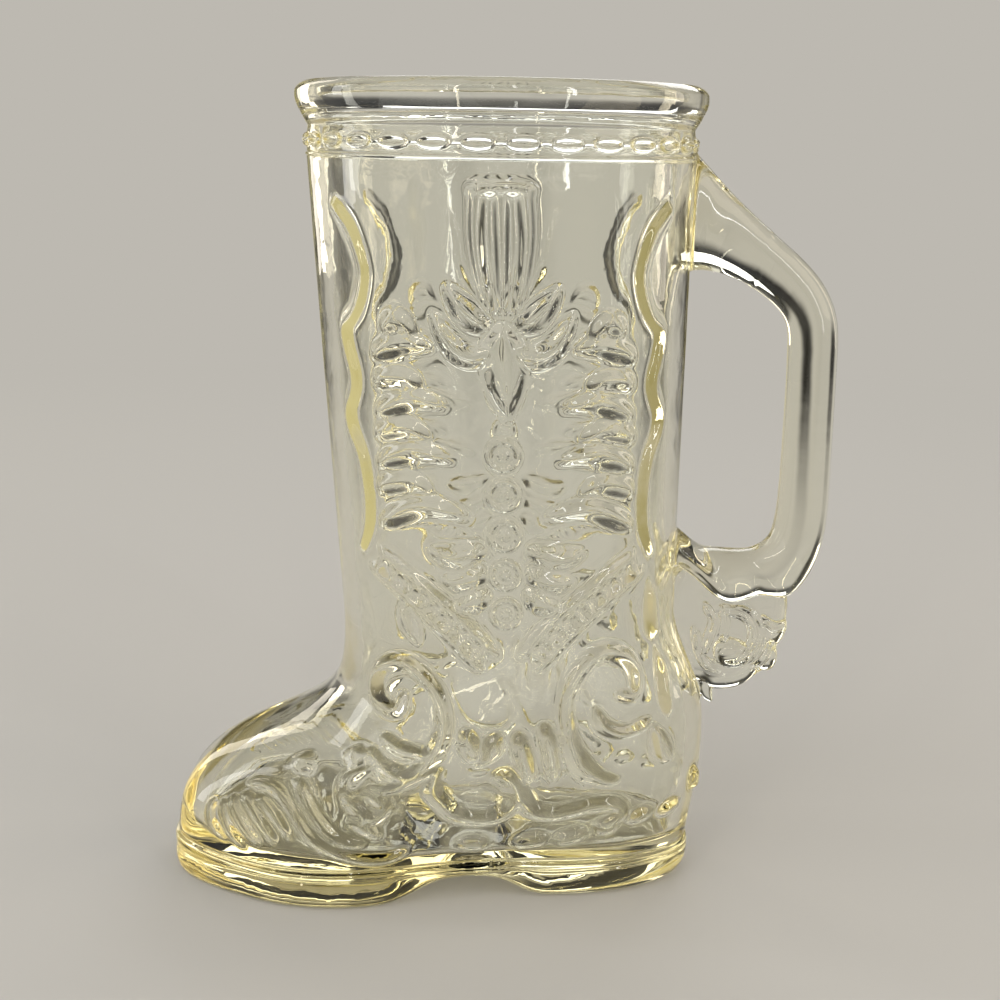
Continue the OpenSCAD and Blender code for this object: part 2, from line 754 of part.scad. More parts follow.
// The thick tapered panel that runs down to the heel counter
panel_shares = [[0.80, 0.130], [0.82, 0.060], [0.84, 0.005]];
counter_shares = [[0.925, 0.960], [0.896, 0.820], [0.874, 0.680]];
module counter_panels() {
    color("honeydew", 0.6)
        both_sides() {
            stroke(smooth([for (p = panel_shares) on_shaft(p)]), leaf_w, "leaf");
            stroke(smooth([for (p = counter_shares) on_foot(p)]), leaf_w, "leaf");
        }
}
// Links of the chain low round the heel, each with its height
chain_shares = [
    [[0.566, 0.215], [0.613, 0.200]], [[0.654, 0.205], [0.704, 0.215]], [[0.737, 0.250], [0.776, 0.275]],
    [[0.804, 0.300], [0.838, 0.320]], [[0.862, 0.335], [0.890, 0.355]], [[0.909, 0.375], [0.931, 0.410]]
];
module heel_chain() {
    color("honeydew", 0.6)
        both_sides()
            for (link = chain_shares)
                stroke([for (t = [0:0.2:1]) on_foot(mix(link[0], link[1], t))], scroll_w, "line", relief);
}

// Ornament on the toe

flame_shares = [
    [[0.065, 0.500], [0.069, 0.420], [0.058, 0.330]], [[0.170, 0.420], [0.135, 0.330], [0.092, 0.250]],
    [[0.228, 0.330], [0.179, 0.250], [0.127, 0.190]], [[0.102, 0.640], [0.105, 0.560], [0.082, 0.530]],
    [[0.165, 0.540], [0.177, 0.470], [0.141, 0.450]]
];
toe_scroll_shares = [
    [[0.246, 0.300], [0.304, 0.225], [0.366, 0.215], [0.425, 0.250], [0.445, 0.330]],
    [[0.292, 0.420], [0.264, 0.500], [0.320, 0.500], [0.386, 0.410], [0.373, 0.350], [0.335, 0.390]]
];
module toe_flames() {
    // The toe curves sharply under these wide strokes, so they stand a little further off
    foot_strokes(flame_shares, leaf_w, "leaf", 4 * seat_gap);
}
module toe_scrolls() {
    foot_strokes(toe_scroll_shares, scroll_w);
}

rim_lip();
neck_band();
band_links();
band_bead();
shaft_wall();
foot_wall();
sole();
heel();
handle_upper_arm();
handle_grip();
handle_lower_arm();
spur_rowel();
spur_hub();
spur_shank();
spur_drop();
pull_straps();
lily_leaves();
lily_pendants();
concho_columns();
front_leaf_sprays();
rear_leaf_sprays();
front_piping();
rear_piping();
front_vee_straps();
rear_vee_straps();
lower_petals();
front_scrolls();
rear_scrolls();
waist_scrolls();
ankle_leaves();
counter_panels();
heel_chain();
toe_flames();
toe_scrolls();
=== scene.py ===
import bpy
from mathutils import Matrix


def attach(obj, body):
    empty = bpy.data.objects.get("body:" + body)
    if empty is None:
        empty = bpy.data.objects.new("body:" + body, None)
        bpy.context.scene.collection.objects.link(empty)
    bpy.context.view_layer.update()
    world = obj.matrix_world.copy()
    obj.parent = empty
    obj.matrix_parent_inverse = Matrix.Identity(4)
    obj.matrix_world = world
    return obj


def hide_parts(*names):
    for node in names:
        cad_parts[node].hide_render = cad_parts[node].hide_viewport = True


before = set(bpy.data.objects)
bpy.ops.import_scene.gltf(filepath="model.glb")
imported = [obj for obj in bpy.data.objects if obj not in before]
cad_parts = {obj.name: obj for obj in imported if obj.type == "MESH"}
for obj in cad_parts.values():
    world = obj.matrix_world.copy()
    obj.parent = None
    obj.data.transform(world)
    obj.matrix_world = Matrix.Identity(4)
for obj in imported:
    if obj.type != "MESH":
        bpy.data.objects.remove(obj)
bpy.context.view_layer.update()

import math

import bmesh
import bpy
import numpy as np
from mathutils import Matrix, Vector
from mathutils.kdtree import KDTree

# A beer boot glass is one pressing. Its skin is worked out here in millimetres as one closed form, then
# parted into sections that sit a hair apart, so that each is a closed piece of its own.
mm = 0.001
scene = bpy.context.scene


def mix(a, b, t):
    return a + (b - a) * t


def linear(hexText):
    # sRGB hex to the linear colour that Blender's sockets take
    parts = [int(hexText[i:i + 2], 16) / 255 for i in (1, 3, 5)]
    return [p / 12.92 if p <= 0.04045 else ((p + 0.055) / 1.055) ** 2.4 for p in parts] + [1.0]


def addNode(tree, kind, inputs=None, **settings):
    # a node with its settings; each input is either linked to a socket or given a value
    node = tree.nodes.new(kind)
    for name, value in settings.items():
        setattr(node, name, value)
    for name, value in (inputs or {}).items():
        if isinstance(value, bpy.types.NodeSocket):
            tree.links.new(value, node.inputs[name])
        else:
            node.inputs[name].default_value = value
    return node


# Sizes shared by all the sections, in millimetres: those of the solids, but for the relief, which is a
# little higher so that it reads in clear glass
boot = {
    "height": 200.0, "wall": 4.0, "rimHeight": 6.5, "neckHeight": 3.2, "bandHeight": 8.3, "mouthFlare": 1.6,
    "bandRadius": 47.2, "ankleRadius": 42.2, "ankleHeight": 68.0, "topX": -1.2, "ankleX": 2.6,
    "toeX": -82.8, "heelX": 53.6, "ballWidth": 71.0, "seamHeight": 10.0, "welt": 0.8,
    "archHeight": 6.0, "archFront": -30.0, "heelFront": 8.0, "relief": 1.9, "floorGlass": 1.6,
    "floorRound": 3.2,
}
# how finely the skin is drawn: points round it, and the steps of its rows
grid = {"around": 480, "shaftStep": 0.72, "footStep": 0.56, "innerStep": 3.6, "innerFootStep": 1.4}
# how far creases are eased out, in samples of the outline's height, of the sole's width and of the arch,
# and in how many rounds the joined forms' seams are
easing = {"rowStep": 0.2, "rows": 9.0, "widthSamples": 12, "archSamples": 18, "seamRounds": 14}

neckLow = boot["height"] - boot["rimHeight"] - boot["neckHeight"]
rimLow = boot["height"] - boot["rimHeight"]
bandLow = neckLow - boot["bandHeight"]
ankle = boot["ankleHeight"]
seam = boot["seamHeight"]

# Slices up the foot: share of the ankle's height, reach to the toe, reach to the heel, change from sole
# to ankle, and the glass at toe and side against the wall
footSlices = np.array([
    [0.147, 1.000, 0.58, 0.00, 1.6, 1.1], [0.222, 0.992, 0.68, 0.03, 1.7, 1.1],
    [0.300, 0.968, 0.78, 0.08, 1.8, 1.1], [0.370, 0.905, 0.88, 0.14, 1.9, 1.1],
    [0.426, 0.815, 0.94, 0.20, 2.0, 1.1], [0.482, 0.690, 0.97, 0.28, 2.1, 1.1],
    [0.534, 0.510, 1.00, 0.38, 2.1, 1.1], [0.584, 0.335, 1.00, 0.48, 2.0, 1.1],
    [0.632, 0.215, 1.00, 0.58, 1.8, 1.1], [0.672, 0.135, 0.95, 0.66, 1.6, 1.1],
    [0.720, 0.065, 0.86, 0.75, 1.4, 1.05], [0.800, 0.015, 0.58, 0.87, 1.2, 1.0],
    [0.890, 0.000, 0.26, 0.96, 1.1, 1.0], [1.000, 0.000, 0.00, 1.00, 1.0, 1.0],
])
# Width of the sole along its length, as a share of that at the ball
soleWidth = np.array([
    [0.00, 0.75], [0.10, 0.91], [0.20, 1.03], [0.28, 1.05], [0.36, 1.01], [0.45, 0.91],
    [0.55, 0.80], [0.65, 0.76], [0.78, 0.79], [0.88, 0.79], [1.00, 0.70],
])


def softened(values, sigma):
    # a row of samples blurred by a bell of the given width, with its ends held
    reach = max(int(3 * sigma), 1)
    bell = np.exp(-0.5 * (np.arange(-reach, reach + 1) / max(sigma, 1e-6)) ** 2)
    padded = np.concatenate([
        2 * values[0] - values[reach:0:-1], values, 2 * values[-1] - values[-2:-reach - 2:-1]
    ])
    return np.convolve(padded, bell / bell.sum(), "valid")


# The outline of the upper at close steps of height, eased so that the slices leave no creases
heights = np.arange(seam, bandLow + 0.1, easing["rowStep"])
sliceShare = footSlices[0, 0] + (heights - seam) / (ankle - seam) * (1 - footSlices[0, 0])
column = [np.interp(sliceShare, footSlices[:, 0], footSlices[:, i]) for i in range(6)]
rise = np.clip((heights - ankle) / (bandLow - ankle), 0, 1)
middle = mix(boot["ankleX"], boot["topX"], rise)
radius = mix(boot["ankleRadius"], boot["bandRadius"], rise)
ease = easing["rows"]
toeReach = boot["ankleX"] - boot["ankleRadius"] - boot["toeX"]
heelReach = boot["heelX"] - boot["ankleX"] - boot["ankleRadius"]
frontLine = softened(middle - radius - column[1] * toeReach, ease)
backLine = softened(middle + radius + column[2] * heelReach, ease)
changeLine = softened(np.where(heights > ankle, 1.0, column[3]), ease)
radiusLine = softened(radius, ease)
toeGlass = softened(np.where(heights > ankle, 1.0, column[4]), ease) * boot["wall"]
sideGlass = softened(np.where(heights > ankle, 1.0, column[5]), ease) * boot["wall"]
widthAt = np.linspace(0, 1, 401)
widthLine = softened(np.interp(widthAt, soleWidth[:, 0], soleWidth[:, 1]), easing["widthSamples"])


def outline(z):
    # front, back, change from sole to ankle, radius, and the glass at toe and side, at a height
    z = np.asarray(z, float)
    lines = (frontLine, backLine, changeLine, radiusLine, toeGlass, sideGlass)
    return [np.interp(z, heights, line) for line in lines]


def halfWidth(s, change, ringRadius):
    # half the boot's width at a share of its length, going over from the sole's outline to a circle
    full = mix(np.interp(s, widthAt, widthLine) * boot["ballWidth"] / 2, ringRadius, change)
    return full * (2 * np.sqrt(np.clip(s * (1 - s), 0, None))) ** mix(0.5, 1.0, change)


def sideAt(x, z):
    # how far the plain skin stands out to the side
    front, back, change, ringRadius = outline(z)[:4]
    return halfWidth(np.clip((x - front) / (back - front), 0, 1), change, ringRadius)


def evenRing(front, back, change, ringRadius, thin=1.0):
    # one closed ring with its points evenly spaced, from the toe round the -Y side to the heel and back
    turn = np.linspace(0, math.pi, 2401)
    s = (1 - np.cos(turn)) / 2
    x = mix(front, back, s)
    y = halfWidth(s, change, ringRadius) * thin
    run = np.concatenate([[0], np.cumsum(np.hypot(np.diff(x), np.diff(y)))])
    at = np.linspace(0, run[-1], grid["around"] // 2 + 1)
    x = np.interp(at, run, x)
    y = np.interp(at, run, y)
    y[0] = y[-1] = 0
    return np.concatenate([np.stack([x, -y], 1), np.stack([x, y], 1)[-2:0:-1]])


def offsetRing(ring, by):
    # a flat ring moved square to itself
    along = np.roll(ring, -1, 0) - np.roll(ring, 1, 0)
    square = np.stack([-along[:, 1], along[:, 0]], 1)
    square /= np.linalg.norm(square, axis=1)[:, None]
    return ring - square * np.asarray(by, float)[..., None]


def lift(ring, z):
    # a flat ring set at its height
    return np.concatenate([ring, np.broadcast_to(np.asarray(z, float), (len(ring),))[:, None]], 1)


def lathe(r, z):
    # a circle round the mouth's middle
    turn = 2 * math.pi * np.arange(grid["around"]) / grid["around"]
    return np.stack([boot["topX"] - r * np.cos(turn), -r * np.sin(turn), np.full(len(turn), float(z))], 1)


def smoothRun(points, perSpan=10):
    # a smooth curve through the points
    p = np.asarray(points, float)
    out = []
    for i in range(len(p) - 1):
        a, b, c, d = p[max(i - 1, 0)], p[i], p[i + 1], p[min(i + 2, len(p) - 1)]
        for k in range(perSpan):
            t = k / perSpan
            out.append(0.5 * (2 * b + (c - a) * t + (2 * a - 5 * b + 4 * c - d) * t * t
                              + (3 * b - a - 3 * c + d) * t ** 3))
    return np.array(out + [p[-1]])


def onShaft(share):
    # a place on the shaft from its shares across and up
    z = ankle + share[1] * (bandLow - ankle)
    rise = share[1]
    return [mix(boot["ankleX"], boot["topX"], rise)
            + share[0] * mix(boot["ankleRadius"], boot["bandRadius"], rise), z]


def onFoot(share):
    # a place on the foot from its shares of length and of the ankle's height
    z = share[1] * ankle
    front, back = outline(z)[:2]
    return [mix(front, back, share[0]), z]


def swell(shape, t):
    # how a stroke's width swells along it
    if shape == "leaf":
        return np.maximum(np.sin(math.pi * t ** 0.7) ** 0.8, 0.12)
    if shape == "petal":
        return np.maximum(np.sin(math.pi * np.minimum(t ** 1.3, 1)) ** 0.6, 0.15)
    if shape == "taper":
        return mix(1.0, 0.35, t)
    if shape == "club":
        return np.clip(6 * np.minimum(t, 1 - t) + 0.5, 0, 1) * (1 + 0.45 * np.exp(-(t / 0.08) ** 2))
    return np.clip(4 * np.minimum(t, 1 - t) + 0.45, 0, 1)


# Raised ornament: strokes with a swelling width in the places of the solids. Widths are in millimetres,
# footRise is how much higher it stands on the foot, and the runs are shares across and up the shaft or foot
ornament = {
    "pipingWidth": 3.4, "strapWidth": 7.0, "leafWidth": 4.6, "scrollWidth": 3.4, "fluteWidth": 3.54,
    "footRise": 1.15,
    "pullBar": [[-0.15, 0.948], [0, 0.951], [0.15, 0.948]],
    "flute": [[0.108, 0.930], [0.120, 0.865], [0.104, 0.790], [0.060, 0.715]],
    "lilyLeaves": [
        [[0.06, 0.642], [0.15, 0.626], [0.25, 0.645], [0.35, 0.708]],
        [[0.07, 0.688], [0.14, 0.700], [0.21, 0.728], [0.27, 0.758]],
    ],
    "pendant": [[0, 0.690], [-0.005, 0.635], [0.01, 0.575], [0.015, 0.505]],
    "spray": [
        [[0.66, 0.615], [0.50, 0.645], [0.34, 0.640]], [[0.66, 0.565], [0.50, 0.575], [0.40, 0.564]],
        [[0.66, 0.495], [0.47, 0.535], [0.29, 0.523]], [[0.67, 0.455], [0.50, 0.475], [0.38, 0.460]],
        [[0.67, 0.390], [0.46, 0.428], [0.25, 0.414]], [[0.68, 0.340], [0.50, 0.365], [0.38, 0.345]],
        [[0.68, 0.265], [0.44, 0.315], [0.19, 0.299]], [[0.60, 0.668], [0.52, 0.690], [0.43, 0.668]],
    ],
    "piping": [
        [0.82, 0.910], [0.74, 0.865], [0.69, 0.805], [0.685, 0.765], [0.73, 0.705], [0.80, 0.665],
        [0.79, 0.615], [0.765, 0.555], [0.81, 0.495], [0.80, 0.450], [0.76, 0.405], [0.74, 0.345],
        [0.74, 0.285], [0.76, 0.240], [0.80, 0.200],
    ],
    "vee": [[0.72, 0.185], [0.57, 0.150], [0.40, 0.100], [0.25, 0.050], [0.12, -0.005]],
    "petals": [
        [[0.42, 0.225], [0.27, 0.215], [0.12, 0.235]], [[0.36, 0.165], [0.24, 0.165], [0.11, 0.190]],
        [[0.28, 0.110], [0.20, 0.120], [0.10, 0.145]],
    ],
    "frontScroll": [
        [0.348, 0.480], [0.357, 0.545], [0.323, 0.700], [0.295, 0.860], [0.213, 0.950],
        [0.131, 0.890], [0.128, 0.790], [0.186, 0.760], [0.201, 0.820],
    ],
    "rearScroll": [
        [0.806, 0.475], [0.759, 0.508], [0.687, 0.597], [0.632, 0.714], [0.636, 0.844], [0.689, 0.950],
        [0.757, 1.005], [0.820, 0.975], [0.843, 0.900], [0.820, 0.830], [0.783, 0.840],
    ],
    "ankleLeaf": [[-0.56, 0.10], [-0.54, 0.06], [-0.50, 0.02]],
    "panel": [[0.80, 0.130], [0.82, 0.060], [0.84, 0.005]],
    "counters": [
        [[0.921, 0.960], [0.912, 0.846], [0.896, 0.719]], [[0.850, 0.699], [0.877, 0.607], [0.910, 0.531]],
    ],
    "waistScrolls": [
        [[0.395, 0.555], [0.440, 0.480], [0.479, 0.427], [0.526, 0.363], [0.578, 0.339], [0.620, 0.361],
         [0.623, 0.421], [0.592, 0.490], [0.544, 0.532]],
        [[0.535, 0.548], [0.584, 0.509], [0.634, 0.428], [0.665, 0.371], [0.704, 0.349], [0.740, 0.360],
         [0.778, 0.382], [0.821, 0.380], [0.842, 0.342], [0.828, 0.308], [0.805, 0.296]],
    ],
    "crown": [
        [[0.374, 0.726], [0.410, 0.656], [0.450, 0.600]], [[0.452, 0.710], [0.461, 0.648], [0.477, 0.580]],
        [[0.504, 0.717], [0.563, 0.595], [0.640, 0.470]], [[0.568, 0.752], [0.605, 0.637], [0.682, 0.480]],
        [[0.621, 0.724], [0.686, 0.583], [0.754, 0.464]],
    ],
    "crescents": [
        [[0.709, 0.787], [0.719, 0.732], [0.766, 0.694], [0.813, 0.702], [0.841, 0.722]],
        [[0.203, 0.612], [0.267, 0.567], [0.344, 0.534], [0.379, 0.564]],
        [[0.194, 0.660], [0.253, 0.632], [0.315, 0.620], [0.364, 0.610]],
    ],
    "heelChain": [
        [[0.554, 0.238], [0.599, 0.232]], [[0.659, 0.228], [0.709, 0.244]], [[0.738, 0.240], [0.780, 0.265]],
        [[0.812, 0.275], [0.838, 0.290]], [[0.866, 0.308], [0.899, 0.330]], [[0.925, 0.312], [0.953, 0.345]],
        [[0.984, 0.376], [0.978, 0.455]],
    ],
    "flames": [
        [[0.071, 0.340], [0.088, 0.273], [0.115, 0.219]], [[0.088, 0.352], [0.124, 0.268], [0.157, 0.203]],
        [[0.098, 0.376], [0.147, 0.301], [0.186, 0.228]], [[0.111, 0.400], [0.173, 0.329], [0.218, 0.238]],
        [[0.140, 0.404], [0.193, 0.359], [0.240, 0.272]], [[0.335, 0.367], [0.369, 0.334], [0.401, 0.283]],
        [[0.162, 0.603], [0.206, 0.573], [0.237, 0.530]], [[0.102, 0.540], [0.130, 0.530], [0.177, 0.500]],
    ],
    "toeScrolls": [
        [[0.107, 0.437], [0.160, 0.434], [0.220, 0.379], [0.270, 0.299], [0.323, 0.240], [0.377, 0.207],
         [0.424, 0.203], [0.456, 0.225]],
        [[0.170, 0.480], [0.228, 0.418], [0.280, 0.345], [0.321, 0.287], [0.366, 0.262]],
        [[0.251, 0.547], [0.251, 0.516], [0.291, 0.456], [0.342, 0.392], [0.376, 0.366], [0.379, 0.414],
         [0.342, 0.455], [0.322, 0.470]],
    ],
}


def strokeList():
    # every raised stroke: its run, width, shape and rise
    o = ornament
    rise = boot["relief"]
    strokes = [([onShaft(p) for p in o["pullBar"]], 2.1, "line", rise)]
    for s in (-1, 0, 1):
        run = [onShaft([s * p[0], p[1]]) for p in o["flute"]]
        strokes.append((run, o["fluteWidth"], "taper", rise * 0.7))
    strokes.append(([onShaft(p) for p in o["pendant"]], o["leafWidth"] * 1.9, "leaf", rise))
    for flip in (-1, 1):
        for leaf in o["lilyLeaves"] + o["spray"]:
            strokes.append(([onShaft([flip * p[0], p[1]]) for p in leaf], o["leafWidth"], "leaf", rise))
        for petal in o["petals"]:
            run = [onShaft([flip * p[0], p[1]]) for p in petal]
            strokes.append((run, o["leafWidth"] * 1.1, "petal", rise))
        strokes.append(([onShaft([flip * p[0], p[1]]) for p in o["piping"]], o["pipingWidth"], "club", rise))
        path = smoothRun([onShaft([flip * p[0], p[1]]) for p in o["vee"]], 6)
        along = np.gradient(path, axis=0)
        across = np.stack([-along[:, 1], along[:, 0]], 1) / np.linalg.norm(along, axis=1)[:, None]
        rail = o["strapWidth"] / 4
        for s in (-1, 1):
            strokes.append((path + across * s * (o["strapWidth"] - rail) / 2, rail * 1.25, "line", rise))
        for k in np.linspace(2, len(path) - 3, 8).round().astype(int):
            rung = [path[k] + across[k] * s * (o["strapWidth"] / 2 - rail) for s in (-1, 0, 1)]
            strokes.append((rung, rail * 0.9, "line", rise * 0.8))
    strokes.append(([onShaft(p) for p in o["ankleLeaf"]], o["leafWidth"], "leaf", rise))
    strokes.append(([onShaft(p) for p in o["panel"]], o["leafWidth"] * 1.2, "petal", rise))
    footwork = (("counters", "leafWidth", "petal", 1.1), ("crown", "leafWidth", "leaf", 0.85),
                ("crescents", "scrollWidth", "line", 0.8), ("heelChain", "scrollWidth", "line", 1.0),
                ("flames", "leafWidth", "leaf", 0.85), ("waistScrolls", "scrollWidth", "line", 1.0),
                ("toeScrolls", "scrollWidth", "line", 0.85))
    for name, width, shape, share in footwork:
        for run in o[name]:
            strokes.append(([onFoot(p) for p in run], o[width] * share * 0.9, shape, rise * o["footRise"]))
    for name in ("frontScroll", "rearScroll"):
        strokes.append(([onFoot(p) for p in o[name]], o["scrollWidth"] * 0.95, "line", rise * o["footRise"]))
    return strokes


def raiseStroke(height, points, run, width, shape, rise):
    # the distance of each skin point from the stroke gives its height: a rounded ridge
    path = smoothRun(run) if len(run) < 20 else np.asarray(run)
    path = np.stack([path[:, 0], -sideAt(path[:, 0], path[:, 1]), path[:, 1]], 1)
    reach = width * 1.05
    low, high = path.min(0) - reach, path.max(0) + reach
    near = np.nonzero(((points > low) & (points < high)).all(1))[0]
    if not len(near):
        return
    p = points[near]
    a, b = path[:-1], path[1:]
    ab = b - a
    t = ((p[:, None, :] - a) * ab).sum(2) / np.maximum((ab * ab).sum(1), 1e-9)
    t = np.clip(t, 0, 1)
    gap = np.linalg.norm(p[:, None, :] - (a + t[:, :, None] * ab), axis=2)
    best = gap.argmin(1)
    rows = np.arange(len(p))
    length = np.concatenate([[0], np.cumsum(np.linalg.norm(ab, axis=1))])
    along = (length[best] + t[rows, best] * (length[best + 1] - length[best])) / length[-1]
    w = swell(shape, np.clip(along, 0, 1))
    u = gap[rows, best] / (width * 0.66 * w)
    h = rise * np.minimum(1, 0.4 + w) * np.clip(1 - u * u, 0, 1) ** 1.2
    height[near] = np.maximum(height[near], h)


def skinRows(zs):
    front, back, change, ringRadius = outline(zs)[:4]
    return np.stack([
        lift(evenRing(front[i], back[i], change[i], ringRadius[i]), zs[i]) for i in range(len(zs))
    ])


def blurField(field, times):
    for _ in range(times):
        field = 0.5 * field + 0.25 * (np.roll(field, 1, 1) + np.roll(field, -1, 1))
        mid = 0.5 * field[1:-1] + 0.25 * (field[:-2] + field[2:])
        field = np.concatenate([field[:1], mid, field[-1:]])
    return field


print("working out the skin")
around = grid["around"]
half = around // 2
zRows = np.concatenate([
    np.arange(seam + 0.55, ankle, grid["footStep"]),
    np.arange(ankle, bandLow - 0.3, grid["shaftStep"]), [bandLow]
])
upper = skinRows(zRows)
side = upper[:, :half + 1].reshape(-1, 3)
height = np.zeros(len(side))
strokes = strokeList()
for run, width, shape, rise in strokes:
    raiseStroke(height, side, run, width, shape, rise)
height = height.reshape(len(zRows), half + 1)
height = np.concatenate([height, height[:, -2:0:-1]], 1)
height = blurField(height, 2)
print("  strokes on each side:", len(strokes))

across = np.roll(upper, -1, 1) - np.roll(upper, 1, 1)
upward = np.gradient(upper, axis=0)
normal = np.cross(across, upward)
normal /= np.linalg.norm(normal, axis=2)[:, :, None]
upper = upper + normal * height[:, :, None]


# Sole and heel share one soft edge under the welt, rounder at the back, and are hollowed by the arch
sole = {
    "arch": [[0, 0], [0.10, 0.04], [0.224, 0.32], [0.396, 0.87], [0.50, 0.98], [0.594, 1.0], [0.70, 0.98],
             [0.793, 0.90], [0.907, 0.57], [0.974, 0.30], [1.05, 0.10], [1.15, 0.0]],
    # along the sole: place, how far the edge draws in, and over what height
    "edge": [[-83, 1.8, 4.0], [-62, 3.0, 6.0], [10, 3.2, 6.0], [32, 4.2, 7.0], [50, 5.6, 8.4]],
    "line": 0.3, "lineAt": 0.5,
}
archShares = np.array(sole["arch"])
archX = np.linspace(boot["archFront"] - 6, boot["heelFront"] + 12, 600)
archZ = softened(np.interp((archX - boot["archFront"]) / (boot["heelFront"] - boot["archFront"]),
                           archShares[:, 0], archShares[:, 1]) * boot["archHeight"], easing["archSamples"])
archZ = np.clip(archZ, 0, None)


def underside(x):
    return np.interp(x, archX, archZ, left=0, right=0)


footOutline = outline(seam)
footRing = evenRing(*[float(v) for v in footOutline[:4]])
edgeTable = np.array(sole["edge"])
drawIn = np.interp(footRing[:, 0], edgeTable[:, 0], edgeTable[:, 1])
baseRows = []
for turn in np.linspace(0, math.pi / 2, 14):
    ring = offsetRing(footRing, boot["welt"] - drawIn * (1 - math.sin(turn)))
    under = underside(ring[:, 0])
    upRound = np.minimum(np.interp(ring[:, 0], edgeTable[:, 0], edgeTable[:, 2]), 0.8 * (seam - 1.3 - under))
    baseRows.append(lift(ring, under + upRound * (1 - math.cos(turn))))
low = baseRows[-1][:, 2]
for t in np.linspace(0, 1, 12)[1:]:
    by = boot["welt"] - sole["line"] * math.exp(-((t - sole["lineAt"]) / 0.16) ** 2)
    baseRows.append(lift(offsetRing(footRing, by), mix(low, seam - 1.1, t)))
for by, z in ((0.72, 0.8), (0.5, 0.5), (0.15, 0.3), (-0.15, 0.15), (-0.3, -0.05), (-0.22, -0.3)):
    baseRows.append(lift(offsetRing(footRing, by), seam - z))

# Bead, band, neck and rim are turned round the mouth's middle. The rim is a flared lip with a fine ledge
# under its rounded edge: height over the neck's foot, and width over the band's
mouth = {
    "bead": 0.32, "beadHalf": 0.42, "beadAt": 0.9, "lipRound": 1.6,
    "lip": [[-1.6, -0.2], [-0.8, -0.3], [-0.2, 0.05], [0.5, 0.48], [1.25, 0.95], [2.1, 1.38], [2.7, 1.62],
            [2.95, 1.86], [4.1, 2.35], [5.0, 2.66], [5.8, 2.79], [6.6, 2.8], [7.3, 2.74], [7.9, 2.5],
            [8.5, 2.0], [9.0, 1.35], [9.45, 0.5]],
}
mouthRadius = boot["bandRadius"] - boot["wall"] + boot["mouthFlare"]
bandProfile = []
for turn in np.radians(np.linspace(-90, 90, 9)):
    bandProfile.append((boot["bandRadius"] + mouth["bead"] * math.cos(turn),
                        bandLow + mouth["beadAt"] + mouth["beadHalf"] * math.sin(turn)))
bandProfile += [(boot["bandRadius"] - 0.1, z) for z in np.linspace(bandLow + 1.8, neckLow - 2.2, 10)]
bandProfile += [(boot["bandRadius"] + out, neckLow + up) for up, out in smoothRun(mouth["lip"], 4)]
for turn in np.radians(np.linspace(12, 90, 8)):
    bandProfile.append((mouthRadius + mouth["lipRound"] * (1 - math.sin(turn)),
                        boot["height"] - mouth["lipRound"] * (1 - math.cos(turn))))
bandProfile += [(mouthRadius, z) for z in np.linspace(boot["height"] - 2.2, rimLow, 6)]
for t in np.linspace(0.12, 1, 7):
    bandProfile.append((mix(mouthRadius, boot["bandRadius"] - boot["wall"], t * t * (3 - 2 * t)),
                        mix(rimLow, neckLow, t)))
bandRows = [lathe(r, z) for r, z in bandProfile]

# The hollow: a smooth plunger shape down to a rounded floor in the foot
floorZ = seam + boot["floorGlass"]
floorRound = boot["floorRound"]
hollowZ = np.concatenate([
    np.arange(neckLow - 2.0, ankle, -grid["innerStep"]),
    np.arange(ankle, floorZ + floorRound, -grid["innerFootStep"])
])
hollowRows = []


def hollowRing(z):
    front, back, change, ringRadius, toe, sides = [float(v) for v in outline(min(max(z, seam), bandLow))]
    if z > bandLow:
        return lathe(boot["bandRadius"] - boot["wall"], z)[:, :2]
    thin = 1 - sides / mix(boot["ballWidth"] / 2, ringRadius, change)
    return evenRing(front + toe, back - sides, change, ringRadius, thin)


for z in hollowZ:
    hollowRows.append(lift(hollowRing(z), z))
floorRing = hollowRing(floorZ + floorRound)
for k in range(1, 8):
    turn = math.pi / 2 * k / 7
    hollowRows.append(lift(offsetRing(floorRing, -floorRound * (1 - math.cos(turn))),
                           floorZ + floorRound * (1 - math.sin(turn))))


def ladderCap(rows, ringIndex, points, zOf, flip):
    # fills a ring with rungs from side to side, so that it needs no pole
    across = 24
    total = len(points)
    faces = []
    extra = []
    rungs = []
    base = ringIndex * around
    ring = rows[ringIndex]
    for i in range(1, half):
        a, b = base + i, base + around - i
        inner = []
        for k in range(1, across):
            p = mix(ring[i], ring[around - i], k / across)
            p[2] = zOf(p[0])
            inner.append(total + len(extra))
            extra.append(p)
        rungs.append([a] + inner + [b])
    for i in range(len(rungs) - 1):
        for k in range(across):
            faces.append((rungs[i][k], rungs[i + 1][k], rungs[i + 1][k + 1], rungs[i][k + 1]))
    for k in range(across):
        faces.append((base, rungs[0][k], rungs[0][k + 1]))
        faces.append((base + half, rungs[-1][k + 1], rungs[-1][k]))
    if flip:
        faces = [f[::-1] for f in faces]
    return extra, faces


def addObject(name, points, faces):
    mesh = bpy.data.meshes.new(name)
    mesh.from_pydata(points, [], faces)
    mesh.attributes.new("fused", "FLOAT", "FACE")
    mesh.attributes.new("stock", "FLOAT", "FACE")
    item = bpy.data.objects.new(name, mesh)
    scene.collection.objects.link(item)
    return item


def isClosed(mesh):
    bm = bmesh.new()
    bm.from_mesh(mesh)
    bad = sum(1 for e in bm.edges if len(e.link_faces) != 2)
    volume = bm.calc_volume(signed=True)
    bm.free()
    return bad, volume


def turnOut(item):
    # faces point out of the glass, whichever way round the form was made
    bad, volume = isClosed(item.data)
    if volume < 0:
        item.data.flip_normals()
    faces = len(item.data.polygons)
    print("  ", item.name, faces, "faces, open edges", bad, "volume in mm3", round(abs(volume)))
    return item


